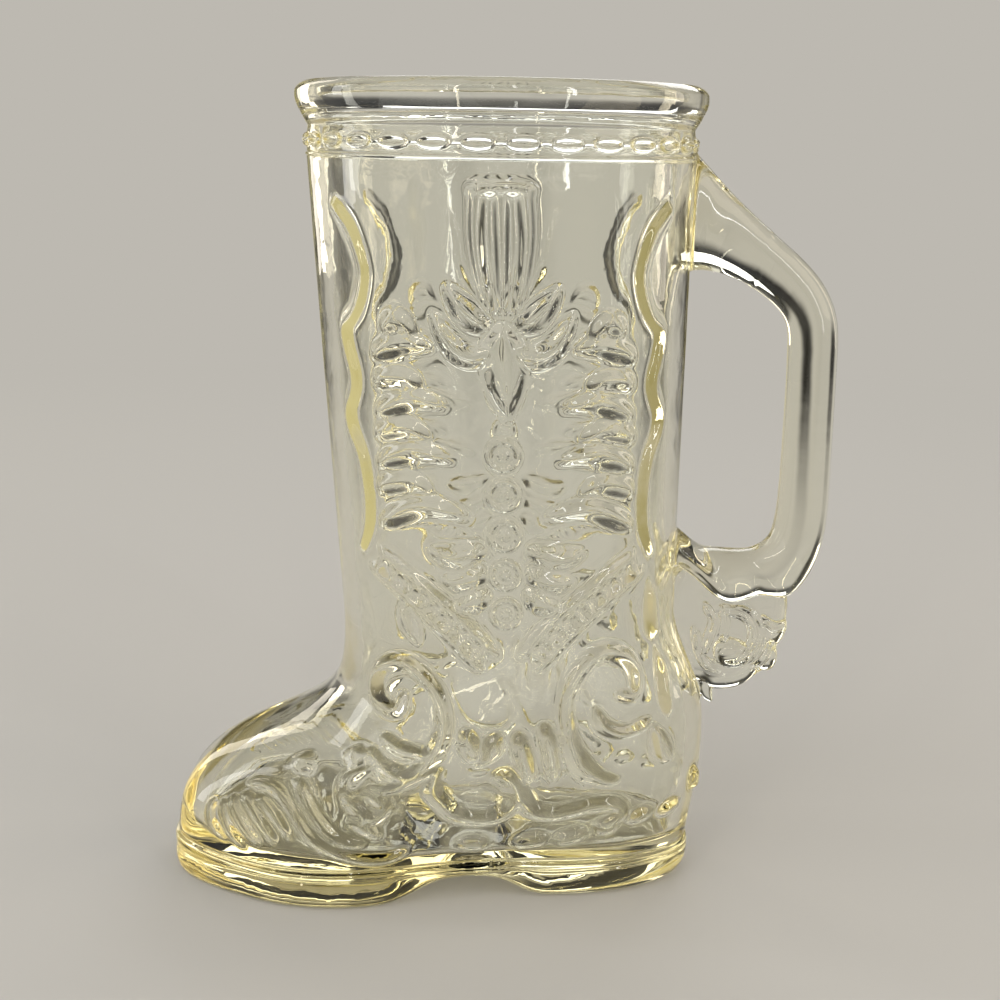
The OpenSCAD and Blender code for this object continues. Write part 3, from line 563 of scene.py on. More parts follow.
def closedGrid(name, rows, lowZ, highZ):
    # rows of rings from one cap to the other, outside facing out
    rows = np.asarray(rows)
    points = rows.reshape(-1, 3)
    faces = []
    i = np.arange(around)
    k = (i + 1) % around
    for j in range(len(rows) - 1):
        a = j * around
        faces += np.stack([a + i, a + k, a + around + k, a + around + i], 1).tolist()
    extraLow, facesLow = ladderCap(rows, 0, points, lowZ, True)
    points = np.concatenate([points, extraLow])
    extraHigh, facesHigh = ladderCap(rows, len(rows) - 1, points, highZ, False)
    points = np.concatenate([points, extraHigh])
    return addObject(name, points.tolist(), faces + facesLow + facesHigh)


print("building the skin of the boot")
allRows = baseRows + list(upper) + bandRows + hollowRows
body = closedGrid("body", allRows, underside, lambda x: floorZ)


def combine(first, second, operation):
    # a join, cut or overlap of two closed forms, kept as a new mesh on the first
    step = first.modifiers.new("step", "BOOLEAN")
    step.operation = operation
    step.solver = "MANIFOLD"
    step.object = second
    mesh = bpy.data.meshes.new_from_object(first.evaluated_get(bpy.context.evaluated_depsgraph_get()))
    first.modifiers.remove(step)
    return mesh


def setStock(item, value, name="stock"):
    mesh = item.data
    layer = mesh.attributes.get(name) or mesh.attributes.new(name, "FLOAT", "FACE")
    layer.data.foreach_set("value", np.full(len(mesh.polygons), float(value), np.float32))


turnOut(body)


# Handle: one bent bar with flared roots
handle = {
    "outReach": 36.4, "inReach": 24.2, "lowZ": 85.0, "highZ": 155.0, "thickness": 12.6, "fullness": 0.88,
    "around": 64, "step": 0.6, "mouldLineAt": 3.55, "mouldLine": 0.025,
    # each station: outer edge, inner edge (shares outwards from the band and up the finger loop), thickness
    "stations": [
        [[-0.16, 1.50], [-0.22, 1.00], 1.35], [[0.045, 1.385], [0.08, 1.016], 1.2],
        [[0.22, 1.29], [0.27, 1.005], 1.05], [[0.40, 1.205], [0.48, 0.98], 1.0],
        [[0.57, 1.13], [0.66, 0.945], 1.0], [[0.73, 1.06], [0.81, 0.905], 1.0],
        [[0.87, 0.98], [0.93, 0.86], 1.0], [[0.96, 0.89], [0.985, 0.81], 1.0],
        [[0.995, 0.80], [0.995, 0.75], 1.0], [[1.0, 0.62], [1.0, 0.60], 1.0],
        [[1.0, 0.42], [0.995, 0.42], 1.0], [[1.0, 0.24], [0.985, 0.25], 1.0],
        [[0.99, 0.09], [0.96, 0.13], 1.0], [[0.94, -0.03], [0.90, 0.05], 1.0],
        [[0.84, -0.13], [0.74, 0.010], 1.0], [[0.72, -0.180], [0.62, 0.004], 1.0],
        [[0.59, -0.160], [0.50, 0.004], 1.02], [[0.46, -0.190], [0.40, 0.006], 1.06],
        [[0.34, -0.205], [0.30, 0.008], 1.12], [[0.20, -0.150], [0.20, 0.012], 1.2],
        [[0.09, -0.090], [0.09, 0.032], 1.28], [[-0.05, -0.050], [-0.06, 0.078], 1.34],
        [[-0.25, -0.030], [-0.30, 0.135], 1.4],
    ],
}


def loopPoint(share, reach):
    return [boot["bandRadius"] + share[0] * reach, mix(handle["lowZ"], handle["highZ"], share[1])]


def buildHandle():
    h = handle
    rows = np.array([
        loopPoint(s[0], h["outReach"]) + loopPoint(s[1], h["inReach"]) + [s[2]] for s in h["stations"]
    ])
    fine = smoothRun(rows, 24)
    mouldLine = np.argmin(np.abs(np.arange(len(fine)) / 24 - h["mouldLineAt"]))
    centre = (fine[:, :2] + fine[:, 2:4]) / 2
    run = np.concatenate([[0], np.cumsum(np.linalg.norm(np.diff(centre, axis=0), axis=1))])
    at = np.linspace(0, run[-1], int(run[-1] / h["step"]))
    ridge = 1 + h["mouldLine"] * np.exp(-((at - run[mouldLine]) / 0.5) ** 2)
    fine = np.stack([softened(np.interp(at, run, fine[:, i]), 2.5) for i in range(5)], 1)
    n = h["around"]
    turn = 2 * math.pi * np.arange(n) / n
    bulgeX = np.sign(np.cos(turn)) * np.abs(np.cos(turn)) ** h["fullness"]
    bulgeY = np.sign(np.sin(turn)) * np.abs(np.sin(turn)) ** h["fullness"]
    points = []
    for (ox, oz, ix, iz, thick), k in zip(fine, ridge):
        mx, mz, rx, rz = (ox + ix) / 2, (oz + iz) / 2, (ox - ix) / 2 * k, (oz - iz) / 2 * k
        for bx, by in zip(bulgeX, bulgeY):
            points.append([mx + rx * bx, by * h["thickness"] / 2 * thick, mz + rz * bx])
    faces = []
    rings = len(fine)
    for j in range(rings - 1):
        for i in range(n):
            a, b = j * n + i, j * n + (i + 1) % n
            faces.append((a, b, b + n, a + n))
    faces.append(tuple(range(n - 1, -1, -1)))
    faces.append(tuple((rings - 1) * n + i for i in range(n)))
    return addObject("handle", points, faces)


def turned(name, profile, steps):
    # a profile of radius and height turned about the Z axis, closed at both ends
    points = []
    faces = []
    for i in range(steps):
        a = 2 * math.pi * i / steps
        for r, h in profile[1:-1]:
            points.append([r * math.cos(a), r * math.sin(a), h])
    m = len(profile) - 2
    bottom, top = len(points), len(points) + 1
    points += [[0, 0, profile[0][1]], [0, 0, profile[-1][1]]]
    for i in range(steps):
        a, b = i * m, (i + 1) % steps * m
        faces += [(a + k, b + k, b + k + 1, a + k + 1) for k in range(m - 1)]
        faces += [(bottom, b, a), (top, a + m - 1, b + m - 1)]
    return addObject(name, points, faces)


# Repeats: one tree sets items round a ring, the other sets them in a row
def treeSocket(tree, name, kind, value=None):
    # a named input of a tree
    socket = tree.interface.new_socket(name, in_out="INPUT", socket_type=kind)
    if value is not None:
        socket.default_value = value
    return socket


def repeatTree(name, inRing):
    tree = bpy.data.node_groups.new(name, "GeometryNodeTree")
    tree.interface.new_socket("Geometry", in_out="INPUT", socket_type="NodeSocketGeometry")
    tree.interface.new_socket("Geometry", in_out="OUTPUT", socket_type="NodeSocketGeometry")
    treeSocket(tree, "Item", "NodeSocketObject")
    treeSocket(tree, "Count", "NodeSocketInt", 12)
    treeSocket(tree, "First Turn", "NodeSocketFloat", 0.0)
    if inRing:
        treeSocket(tree, "Ring Radius", "NodeSocketFloat", 10.0)
    else:
        treeSocket(tree, "First Place", "NodeSocketVector")
        treeSocket(tree, "Last Place", "NodeSocketVector")
    treeSocket(tree, "Place", "NodeSocketVector")
    treeSocket(tree, "Turn", "NodeSocketVector")
    treeSocket(tree, "Material", "NodeSocketMaterial")
    given = addNode(tree, "NodeGroupInput").outputs
    item = addNode(tree, "GeometryNodeObjectInfo", {"Object": given["Item"]}, transform_space="ORIGINAL")
    if inRing:
        index = addNode(tree, "GeometryNodeInputIndex")
        pitch = addNode(tree, "ShaderNodeMath", {0: 2 * math.pi, 1: given["Count"]}, operation="DIVIDE")
        angle = addNode(tree, "ShaderNodeMath", {
            0: index.outputs[0], 1: pitch.outputs[0], 2: given["First Turn"],
        }, operation="MULTIPLY_ADD")
        circle = addNode(tree, "GeometryNodeMeshCircle", {
            "Vertices": given["Count"], "Radius": given["Ring Radius"],
        }, fill_type="NONE")
        spots = addNode(tree, "GeometryNodeTransform", {
            "Geometry": circle.outputs[0],
            "Rotation": addNode(tree, "ShaderNodeCombineXYZ", {"Z": given["First Turn"]}).outputs[0],
        })
        turn = addNode(tree, "ShaderNodeCombineXYZ", {"Z": angle.outputs[0]})
        placed = addNode(tree, "GeometryNodeInstanceOnPoints", {
            "Points": spots.outputs[0], "Instance": item.outputs["Geometry"], "Rotation": turn.outputs[0],
        })
    else:
        spots = addNode(tree, "GeometryNodeMeshLine", {
            "Count": given["Count"], "Start Location": given["First Place"], "Offset": given["Last Place"],
        }, mode="END_POINTS")
        placed = addNode(tree, "GeometryNodeInstanceOnPoints", {
            "Points": spots.outputs[0], "Instance": item.outputs["Geometry"],
            "Rotation": addNode(tree, "ShaderNodeCombineXYZ", {"Z": given["First Turn"]}).outputs[0],
        })
    moved = addNode(tree, "GeometryNodeTransform", {
        "Geometry": placed.outputs[0], "Translation": given["Place"], "Rotation": given["Turn"],
    })
    real = addNode(tree, "GeometryNodeRealizeInstances", {"Geometry": moved.outputs[0]})
    finished = addNode(tree, "GeometryNodeSetMaterial", {
        "Geometry": real.outputs[0], "Material": given["Material"],
    })
    addNode(tree, "NodeGroupOutput", {"Geometry": finished.outputs[0]})
    return tree


def repeated(name, tree, item, sizes):
    # runs the tree on an empty mesh and keeps the result as a plain mesh
    holder = addObject(name, [], [])
    nodes = holder.modifiers.new("repeat", "NODES")
    nodes.node_group = tree
    ids = {socket.name: socket.identifier for socket in tree.interface.items_tree if socket.in_out == "INPUT"}
    nodes[ids["Item"]] = item
    for key, value in sizes.items():
        nodes[ids[key]] = value
    mesh = bpy.data.meshes.new_from_object(holder.evaluated_get(bpy.context.evaluated_depsgraph_get()))
    holder.modifiers.remove(nodes)
    holder.data = mesh
    mesh.materials.clear()
    for layer in ("fused", "stock"):
        setStock(holder, 0.0, layer)
    return holder


def join(first, second, operation="UNION"):
    # the second form goes into the first and is used up
    first.data = combine(first, second, operation)
    bpy.data.objects.remove(second)


print("handle, spur and chain")
ringTree = repeatTree("ringOfItems", True)
rowTree = repeatTree("rowOfItems", False)

# Spur, in millimetres from its middle at x and z
spur = {
    "x": 63.6, "z": 60.4, "thickness": 8.6, "rows": 60, "middle": [-3.0, 1.0],
    # the outline from inside the lower arm down the lobed back, along the underside and up in the boot's wall
    "outline": [[7.5, 19.0], [10.0, 15.5], [11.1, 11.4], [11.0, 7.4], [11.3, 4.4], [10.5, 1.7], [9.1, -0.6],
                [9.2, -3.3], [8.9, -5.5], [7.5, -7.2], [5.4, -7.6], [3.3, -9.0], [0.8, -11.0], [-1.8, -12.2],
                [-5.4, -12.7], [-8.5, -12.3], [-12.0, -10.5], [-17.0, -9.0], [-21.0, -4.0], [-21.5, 6.0],
                [-20.0, 17.0], [-15.0, 21.5], [-7.0, 20.5], [2.0, 20.0]],
    "hubAt": [-3.0, -2.4], "hubSize": [4.4, 3.2], "hubRise": 1.5, "grooveAt": 1.2, "grooveWidth": 0.14,
    # two rings show between these turns from the middle, in degrees, and fade out over so many
    "ringAt": [-3.8, 2.5], "ringRadius": 6.3, "ring": 0.8, "ringWidth": 0.6,
    "outerRing": 2.1, "outerRingWidth": 0.5, "ringTurns": [-75, 125], "ringFade": 25,
    # the flutes lie at these turns, and run out from this share of the way to the edge
    "flutes": [-8.5, -46.0], "flute": 0.8, "fluteWidth": 9, "fluteFrom": 0.55, "fluteOver": 0.3,
    "ridge": 0.9, "ridgeWidth": 0.62,
    "ridges": [
        [[-5.2, 8.4], [-4.9, 5.2], [-5.6, 1.8]], [[-9.8, 9.5], [-8.0, 6.5], [-8.8, 2.5], [-10.2, -1.5]],
        [[-12.5, 3.0], [-11.4, -2.0], [-9.6, -5.2], [-6.5, -6.4]], [[2.6, -6.0], [5.4, -3.2], [6.6, 0.4]],
        [[5.2, 6.2], [7.6, 4.6], [10.0, 5.0]],
    ],
    # place and radius down the claw
    "claw": [
        [-9.4, -8.0, 3.2], [-9.5, -11.0, 2.9], [-8.95, -13.6, 2.0], [-8.0, -15.4, 1.1], [-7.4, -16.4, 0.4],
    ],
}


def tube(name, path, radii, square, steps, closed=False):
    # a round bar along a flat path; square is the direction that stands square to the path's plane
    path = np.asarray(path, float)
    if closed:
        along = np.roll(path, -1, 0) - np.roll(path, 1, 0)
    else:
        along = np.gradient(path, axis=0)
    along /= np.linalg.norm(along, axis=1)[:, None]
    across = np.cross(along, square)
    turn = 2 * math.pi * np.arange(steps) / steps
    spokes = (np.cos(turn)[None, :, None] * across[:, None]
             + np.sin(turn)[None, :, None] * np.asarray(square, float))
    rings = path[:, None] + np.asarray(radii, float)[:, None, None] * spokes
    points = rings.reshape(-1, 3).tolist()
    count = len(path)
    faces = []
    for j in range(count if closed else count - 1):
        for i in range(steps):
            a, b = j * steps, (j + 1) % count * steps
            faces.append((a + i, a + (i + 1) % steps, b + (i + 1) % steps, b + i))
    if not closed:
        points += [path[0].tolist(), path[-1].tolist()]
        last = (count - 1) * steps
        for i in range(steps):
            faces.append((count * steps, (i + 1) % steps, i))
            faces.append((count * steps + 1, last + i, last + (i + 1) % steps))
    return addObject(name, points, faces)


def spurFace(x, z, share):
    # how far the faces stand off the plain thickness: the hub, the rings round it, ridges and fluted lobes
    s = spur
    fromHub = np.hypot((x - s["hubAt"][0]) / s["hubSize"][0], (z - s["hubAt"][1]) / s["hubSize"][1])
    fromRing = np.hypot(x - s["ringAt"][0], z - s["ringAt"][1]) - s["ringRadius"]
    turn = np.degrees(np.arctan2(z - s["middle"][1], x - s["middle"][0]))
    off = s["hubRise"] * np.clip(1 - fromHub ** 4, 0, 1) ** 0.6
    off -= 0.4 * s["ring"] * np.exp(-((fromHub - s["grooveAt"]) / s["grooveWidth"]) ** 2)
    first, last = s["ringTurns"]
    shown = np.clip((turn - first) / s["ringFade"], 0, 1) * np.clip((last - turn) / s["ringFade"], 0, 1)
    off += s["ring"] * shown * np.exp(-(fromRing / s["ringWidth"]) ** 2)
    off += 0.6 * s["ring"] * shown * np.exp(-((fromRing - s["outerRing"]) / s["outerRingWidth"]) ** 2)
    for ridge in s["ridges"]:
        gap = np.full(len(x), 99.0)
        for px, pz in smoothRun(ridge, 12):
            gap = np.minimum(gap, np.hypot(x - px, z - pz))
        off = np.maximum(off, s["ridge"] * np.exp(-(gap / s["ridgeWidth"]) ** 2))
    for flute in s["flutes"]:
        deep = s["flute"] * np.clip((share - s["fluteFrom"]) / s["fluteOver"], 0, 1)
        off -= deep * np.exp(-((turn - flute) / s["fluteWidth"]) ** 2)
    return off


def buildSpur():
    # rowel and shank are one cast block with rounded edges, and a claw hangs from it
    s = spur
    run = smoothRun(s["outline"] + s["outline"][:1], 8)[:-1]
    middle = np.array(s["middle"])
    rings = []
    for j in list(range(1, s["rows"] + 1)) + list(range(s["rows"] - 1, 0, -1)):
        share = math.sin(math.pi / 2 * j / s["rows"])
        side = -1 if len(rings) < s["rows"] else 1
        x, z = (middle + (run - middle) * share).T
        half = (s["thickness"] / 2 + spurFace(x, z, share)) * (1 - share ** 6) ** 0.5
        if j == s["rows"]:
            half = np.zeros(len(run))
        rings.append(np.stack([s["x"] + x, side * half, s["z"] + z], 1))
    n = len(run)
    points = np.concatenate(rings).tolist()
    for ring in (rings[0], rings[-1]):
        points.append([s["x"] + s["middle"][0], ring[:, 1].mean(), s["z"] + s["middle"][1]])
    faces = []
    for j in range(len(rings) - 1):
        for i in range(n):
            a, b = j * n, j * n + n
            faces.append((a + i, a + (i + 1) % n, b + (i + 1) % n, b + i))
    last = (len(rings) - 1) * n
    for i in range(n):
        faces.append((len(rings) * n, (i + 1) % n, i))
        faces.append((len(rings) * n + 1, last + i, last + (i + 1) % n))
    cast = turnOut(addObject("spurBlock", points, faces))
    claw = smoothRun(s["claw"], 5)
    path = [[s["x"] + x, 0, s["z"] + z] for x, z, r in claw]
    join(cast, turnOut(tube("claw", path, claw[:, 2], (0, 1, 0), 24)))
    return cast


def coreSolid(name, outset, bandOutset):
    # the boot as one solid without ornament, a set distance out from its plain skin
    rows = []
    for z in np.concatenate([np.arange(seam + 0.5, bandLow, 1.4), [bandLow - 0.3]]):
        plain = evenRing(*[float(v) for v in outline(z)[:4]])
        rows.append(lift(offsetRing(plain, outset), z))
    for z in np.linspace(bandLow - 0.1, boot["height"], 8):
        rows.append(lathe(boot["bandRadius"] + bandOutset, z))
    lowZ, highZ = float(rows[0][0, 2]), float(rows[-1][0, 2])
    return closedGrid(name, rows, lambda x: lowZ, lambda x: highZ)


# Each joined form: its number in the stock layer, and how far from its seam the skin is eased later on
joined = {"handle": (1, 4.5), "spur": (2, 2.0), "chain": (3, 0.7), "conchos": (4, 0.6)}

# Handle and spur are joined, and what would stand inside the wall is cut off
grip = turnOut(buildHandle())
setStock(grip, joined["handle"][0])
spurPiece = buildSpur()
setStock(spurPiece, joined["spur"][0])
join(grip, spurPiece)
inside = turnOut(coreSolid("inside", -boot["wall"] / 2, -boot["wall"] / 2))
join(grip, inside, "DIFFERENCE")

# Chain on the band: oval links with short bars between them. Rise is how far a link's middle stands off
chain = {
    "links": 30, "halfLength": 3.35, "halfHeight": 1.05, "squareness": 0.6, "wire": 0.56, "rise": 0.22,
    # along the bar: place and radius
    "bar": [[-2.0, 0.1], [-1.9, 0.35], [-1.0, 0.34], [0, 0.34], [1.0, 0.34], [1.9, 0.35], [2.0, 0.1]],
}
linkZ = bandLow + boot["bandHeight"] / 2
linkPath = []
for turn in 2 * math.pi * np.arange(28) / 28:
    flat = math.copysign(abs(math.sin(turn)) ** chain["squareness"], math.sin(turn))
    linkPath.append([chain["rise"], chain["halfLength"] * math.cos(turn), chain["halfHeight"] * flat])
link = tube("link", linkPath, [chain["wire"]] * len(linkPath), (1, 0, 0), 8, True)
ringSizes = {"Count": chain["links"], "Ring Radius": boot["bandRadius"], "Place": (boot["topX"], 0, linkZ)}
links = repeated("links", ringTree, link, {**ringSizes, "First Turn": 0.0})
barPath = [[0.1, y, 0] for y, r in chain["bar"]]
bar = tube("bar", barPath, [r for y, r in chain["bar"]], (1, 0, 0), 8)
bars = repeated("bars", ringTree, bar, {**ringSizes, "First Turn": math.pi / chain["links"]})
bpy.data.objects.remove(link)
bpy.data.objects.remove(bar)
join(turnOut(links), turnOut(bars))
setStock(links, joined["chain"][0])

# Conchos: a row of round studs down the shaft, each with a rim and a boss
concho = {
    "count": 5, "low": 0.10, "high": 0.43, "across": -0.01, "sunk": 0.05, "steps": 40,
    # from its foot, which is inside the wall, over its rim to its boss: radius and height
    "profile": [[0, -1.6], [3.88, -1.6], [3.9, 0.3], [3.75, 0.62], [3.4, 0.78], [2.95, 0.66], [2.65, 0.34],
                [1.75, 0.26], [1.35, 0.40], [1.0, 0.66], [0.5, 0.78], [0, 0.8]],
}
coin = turned("coin", concho["profile"], concho["steps"])
ends = [onShaft([concho["across"], share]) for share in (concho["high"], concho["low"])]
ends = [(x, -float(sideAt(x, z)) + concho["sunk"], z) for x, z in ends]
tilt = math.atan2(ends[0][1] - ends[1][1], ends[0][2] - ends[1][2])
coin.data.transform(Matrix.Rotation(math.pi / 2 - tilt, 4, "X"))
rowSizes = {"Count": concho["count"], "First Place": ends[0], "Last Place": ends[1]}
coins = repeated("coins", rowTree, coin, rowSizes)
bpy.data.objects.remove(coin)
farCoins = addObject("farCoins", [(v.co.x, -v.co.y, v.co.z) for v in coins.data.vertices],
                     [tuple(p.vertices)[::-1] for p in coins.data.polygons])
for item in (coins, farCoins):
    setStock(item, joined["conchos"][0])

for item in (grip, links, coins, farCoins):
    join(body, turnOut(item))
turnOut(body)


# Pressed fillets: the seams between the forms are eased, as molten glass fills a mould
def easeSeams(item, reaches, rounds):
    # reaches gives how far from its seam each joined form is eased, by its stock number
    mesh = item.data
    count = len(mesh.vertices)
    points = np.empty(count * 3)
    mesh.vertices.foreach_get("co", points)
    points = points.reshape(-1, 3)
    stock = np.empty(len(mesh.polygons), np.float32)
    mesh.attributes["stock"].data.foreach_get("value", stock)
    edges = np.empty(len(mesh.edges) * 2, np.int64)
    mesh.edges.foreach_get("vertices", edges)
    edges = edges.reshape(-1, 2)
    loopEdges = np.empty(len(mesh.loops), np.int64)
    mesh.loops.foreach_get("edge_index", loopEdges)
    starts = np.empty(len(mesh.polygons), np.int64)
    totals = np.empty(len(mesh.polygons), np.int64)
    mesh.polygons.foreach_get("loop_start", starts)
    mesh.polygons.foreach_get("loop_total", totals)
    loopStock = np.repeat(stock, totals)
    high = np.full(len(edges), -1.0)
    low = np.full(len(edges), 99.0)
    np.maximum.at(high, loopEdges, loopStock)
    np.minimum.at(low, loopEdges, loopStock)
    weight = np.zeros(count)
    for kind, reach in reaches.items():
        seams = np.unique(edges[(high == kind) & (low < kind)])
        if not len(seams):
            continue
        tree = KDTree(len(seams))
        for i, v in enumerate(seams):
            tree.insert(points[v], i)
        tree.balance()
        lowest, highest = points[seams].min(0) - reach, points[seams].max(0) + reach
        near = np.nonzero(((points > lowest) & (points < highest)).all(1))[0]
        gap = np.array([tree.find(points[v])[2] for v in near])
        weight[near] = np.maximum(weight[near], np.clip(1 - gap / reach, 0, 1) ** 0.7)
        print("   seam", kind, "points", len(seams), "eased", int((gap < reach).sum()))
    live = weight > 0
    used = edges[live[edges].any(1)]
    neighbours = np.bincount(used.ravel(), minlength=count)
    for step in range(rounds):
        total = np.zeros((count, 3))
        for axis in range(3):
            total[:, axis] = (np.bincount(used[:, 0], points[used[:, 1], axis], count)
                              + np.bincount(used[:, 1], points[used[:, 0], axis], count))
        mean = total / np.maximum(neighbours, 1)[:, None]
        points = np.where(live[:, None], mix(points, mean, 0.5 * weight[:, None]), points)
    mesh.vertices.foreach_set("co", points.ravel())
    mesh.update()


print("easing the seams")
easeSeams(body, dict(joined.values()), easing["seamRounds"])
print("  after easing:", isClosed(body.data))


# Sections: the boot is parted with flat cuts, each pair of cut faces a hair apart
hair = 0.01
cuts = {
    # the box round handle and spur, and how far off the boot's plain skin their roots are cut
    "armsLow": [34, -12.5, 38], "armsHigh": [96, 12.5, 188.6], "rootOff": 0.15, "bandOff": 0.9,
    # where the heel's front face stands in the arch
    "breast": 0.86,
    # each cut across the bar: its outer and inner edge, as shares like those of the handle's stations
    "upper": [[0.57, 1.13], [0.66, 0.945]], "lower": [[0.95, -0.04], [0.90, 0.05]],
    "spurAt": [63.6, 71.0], "spurWay": [-0.29, 0.957],
}


def addBlock(name, lowest, highest):
    # a cutting block, whose faces mark what they cut as fused
    corners = [(x, y, z) for x in (lowest[0], highest[0]) for y in (lowest[1], highest[1])
               for z in (lowest[2], highest[2])]
    faces = [(0, 1, 3, 2), (4, 6, 7, 5), (0, 4, 5, 1), (2, 3, 7, 6), (0, 2, 6, 4), (1, 5, 7, 3)]
    block = addObject(name, corners, faces)
    setStock(block, 1.0, "fused")
    return block


def beyond(name, cut, side):
    # a block that holds everything on one side of a cut across the handle
    place, way = cut[0], cut[1] * side
    block = addBlock(name, (-150, -60, hair), (150, 60, 300))
    angle = math.atan2(way[0], way[1])
    block.data.transform(Matrix.Translation((place[0], 0, place[1])) @ Matrix.Rotation(angle, 4, "Y"))
    return block


def dropFlaps(mesh):
    # a cut can leave leaves of no thickness: two faces on the same points
    bm = bmesh.new()
    bm.from_mesh(mesh)
    seen = {}
    flaps = set()
    for face in bm.faces:
        key = frozenset(v.index for v in face.verts)
        if key in seen:
            flaps.update((face, seen[key]))
        seen[key] = face
    bmesh.ops.delete(bm, geom=list(flaps), context="FACES")
    bm.to_mesh(mesh)
    bm.free()


def parted(name, whole, cutter, operation="INTERSECT"):
    # what a cutter leaves of the whole, as a new object
    mesh = combine(whole, cutter, operation)
    dropFlaps(mesh)
    piece = bpy.data.objects.new(name, mesh)
    scene.collection.objects.link(piece)
    bpy.data.objects.remove(cutter)
    return piece


def rootCutter(name, outset):
    # a block round handle and spur that ends at the boot's skin
    block = addBlock(name, cuts["armsLow"], cuts["armsHigh"])
    core = coreSolid("core", outset, cuts["bandOff"] + outset)
    setStock(core, 1.0, "fused")
    join(block, core, "DIFFERENCE")
    return block


def slab(name, low, high, left=-150, right=150):
    # a block between two heights, and between two places along the boot
    return addBlock(name, (left, -100, low + hair), (right, 100, high - hair))


print("parting the sections")
arms = parted("arms", body, rootCutter("rootOut", cuts["rootOff"] + 2 * hair))
vessel = parted("vessel", body, rootCutter("rootIn", cuts["rootOff"]), "DIFFERENCE")
breast = mix(boot["archFront"], boot["heelFront"], cuts["breast"])
sections = {
    "rim_roll": parted("rim_roll", vessel, slab("a", rimLow, 300)),
    "chain_band": parted("chain_band", vessel, slab("b", bandLow, rimLow)),
    "shaft_glass": parted("shaft_glass", vessel, slab("c", ankle, bandLow)),
    "foot_glass": parted("foot_glass", vessel, slab("d", seam, ankle)),
    "sole_glass": parted("sole_glass", vessel, slab("e", -50, seam, -150, breast - hair)),
    "heel_glass": parted("heel_glass", vessel, slab("f", -50, seam, breast + hair, 150)),
}


def acrossBar(outerShare, innerShare):
    # a place and a way square to the line from the bar's inner edge to its outer edge
    outer, inner = loopPoint(outerShare, handle["outReach"]), loopPoint(innerShare, handle["inReach"])
    along = np.array(outer) - inner
    return (np.array(outer) + inner) / 2, np.array([along[1], -along[0]]) / np.linalg.norm(along)


upperCut = acrossBar(*cuts["upper"])
lowerCut = acrossBar(*cuts["lower"])
spurCut = np.array(cuts["spurAt"]), np.array(cuts["spurWay"])
rest = parted("rest", arms, beyond("g", upperCut, 1))
lowerRest = parted("lowerRest", rest, beyond("h", lowerCut, 1))
sections["handle_upper_glass"] = parted("handle_upper_glass", arms, beyond("i", upperCut, -1))
sections["handle_grip_glass"] = parted("handle_grip_glass", rest, beyond("j", lowerCut, -1))
sections["handle_lower_glass"] = parted("handle_lower_glass", lowerRest, beyond("k", spurCut, 1))
sections["spur_glass"] = parted("spur_glass", lowerRest, beyond("l", spurCut, -1))

# The cut edges keep the shading of the whole skin, so that no joint shows
wholeCount = len(body.data.vertices)
wholeNormals = np.empty(wholeCount * 3, np.float32)
body.data.vertex_normals.foreach_get("vector", wholeNormals)
wholeNormals = wholeNormals.reshape(-1, 3)
wholeTree = KDTree(wholeCount)
for i, v in enumerate(body.data.vertices):
    wholeTree.insert(v.co, i)
wholeTree.balance()


def shadeAsWhole(piece):
    # points on a cut take their normals from the nearest points of the whole
    mesh = piece.data
    mesh.polygons.foreach_set("use_smooth", [True] * len(mesh.polygons))
    normals = np.empty(len(mesh.vertices) * 3, np.float32)
    mesh.vertex_normals.foreach_get("vector", normals)
    normals = normals.reshape(-1, 3)
    fused = np.empty(len(mesh.polygons), np.float32)
    mesh.attributes["fused"].data.foreach_get("value", fused)
    edge = set()
    for index in np.nonzero(fused > 0.5)[0]:
        edge.update(mesh.polygons[int(index)].vertices)
    for v in edge:
        total = np.zeros(3)
        for _, near, gap in wholeTree.find_n(mesh.vertices[v].co, 4):
            total += wholeNormals[near] / (gap + 0.003) ** 2
        normals[v] = total / np.linalg.norm(total)
    mesh.normals_split_custom_set_from_vertices(normals.tolist())
    faces = len(mesh.polygons)
    print("  ", piece.name, faces, "faces, open edges", isClosed(mesh)[0], "cut points", len(edge))


for piece in sections.values():
    shadeAsWhole(piece)
    piece.data.transform(Matrix.Scale(mm, 4))
for spare in (body, arms, vessel, rest, lowerRest):
    bpy.data.objects.remove(spare)


# Glass
# Pressed soda-lime glass, fire polished: clear, straw yellow only where it is thick, with a skin that keeps
# the slow waves of the mould and a finer ripple. Where two sections meet, the glass runs on and shows nothing.
glass = {
    "tint": "#FDFEFB", "ior": 1.52, "roughness": 0.0,
    # waves and ripples of the skin, in millimetres: from one to the next, and how high
    "waveSize": 9.0, "wave": 0.09, "rippleSize": 2.6, "ripple": 0.014,
    # what a metre of glass does to light, by its colour and density
    "depthColour": "#F0E5A0", "density": 19.0,
    # how much of the light of a lamp passes each face to the floor, face on and at a steep edge
    "passFlat": 0.62, "passSteep": 0.03, "edgeBlend": 0.35,
    # light thrown about in the wall more often than this runs straight out of it, to meet the painted straw
    # light of the air and the far floor
    "guided": 3.5,
}


def guidedLight(tree):
    # one for light that has been thrown about inside the wall, otherwise nought
    path = addNode(tree, "ShaderNodeLightPath").outputs
    return addNode(tree, "ShaderNodeMath", {
        0: path["Glossy Depth"], 1: glass["guided"],
    }, operation="GREATER_THAN").outputs[0]


def largerOf(tree, first, second):
    return addNode(tree, "ShaderNodeMath", {0: first, 1: second}, operation="MAXIMUM").outputs[0]


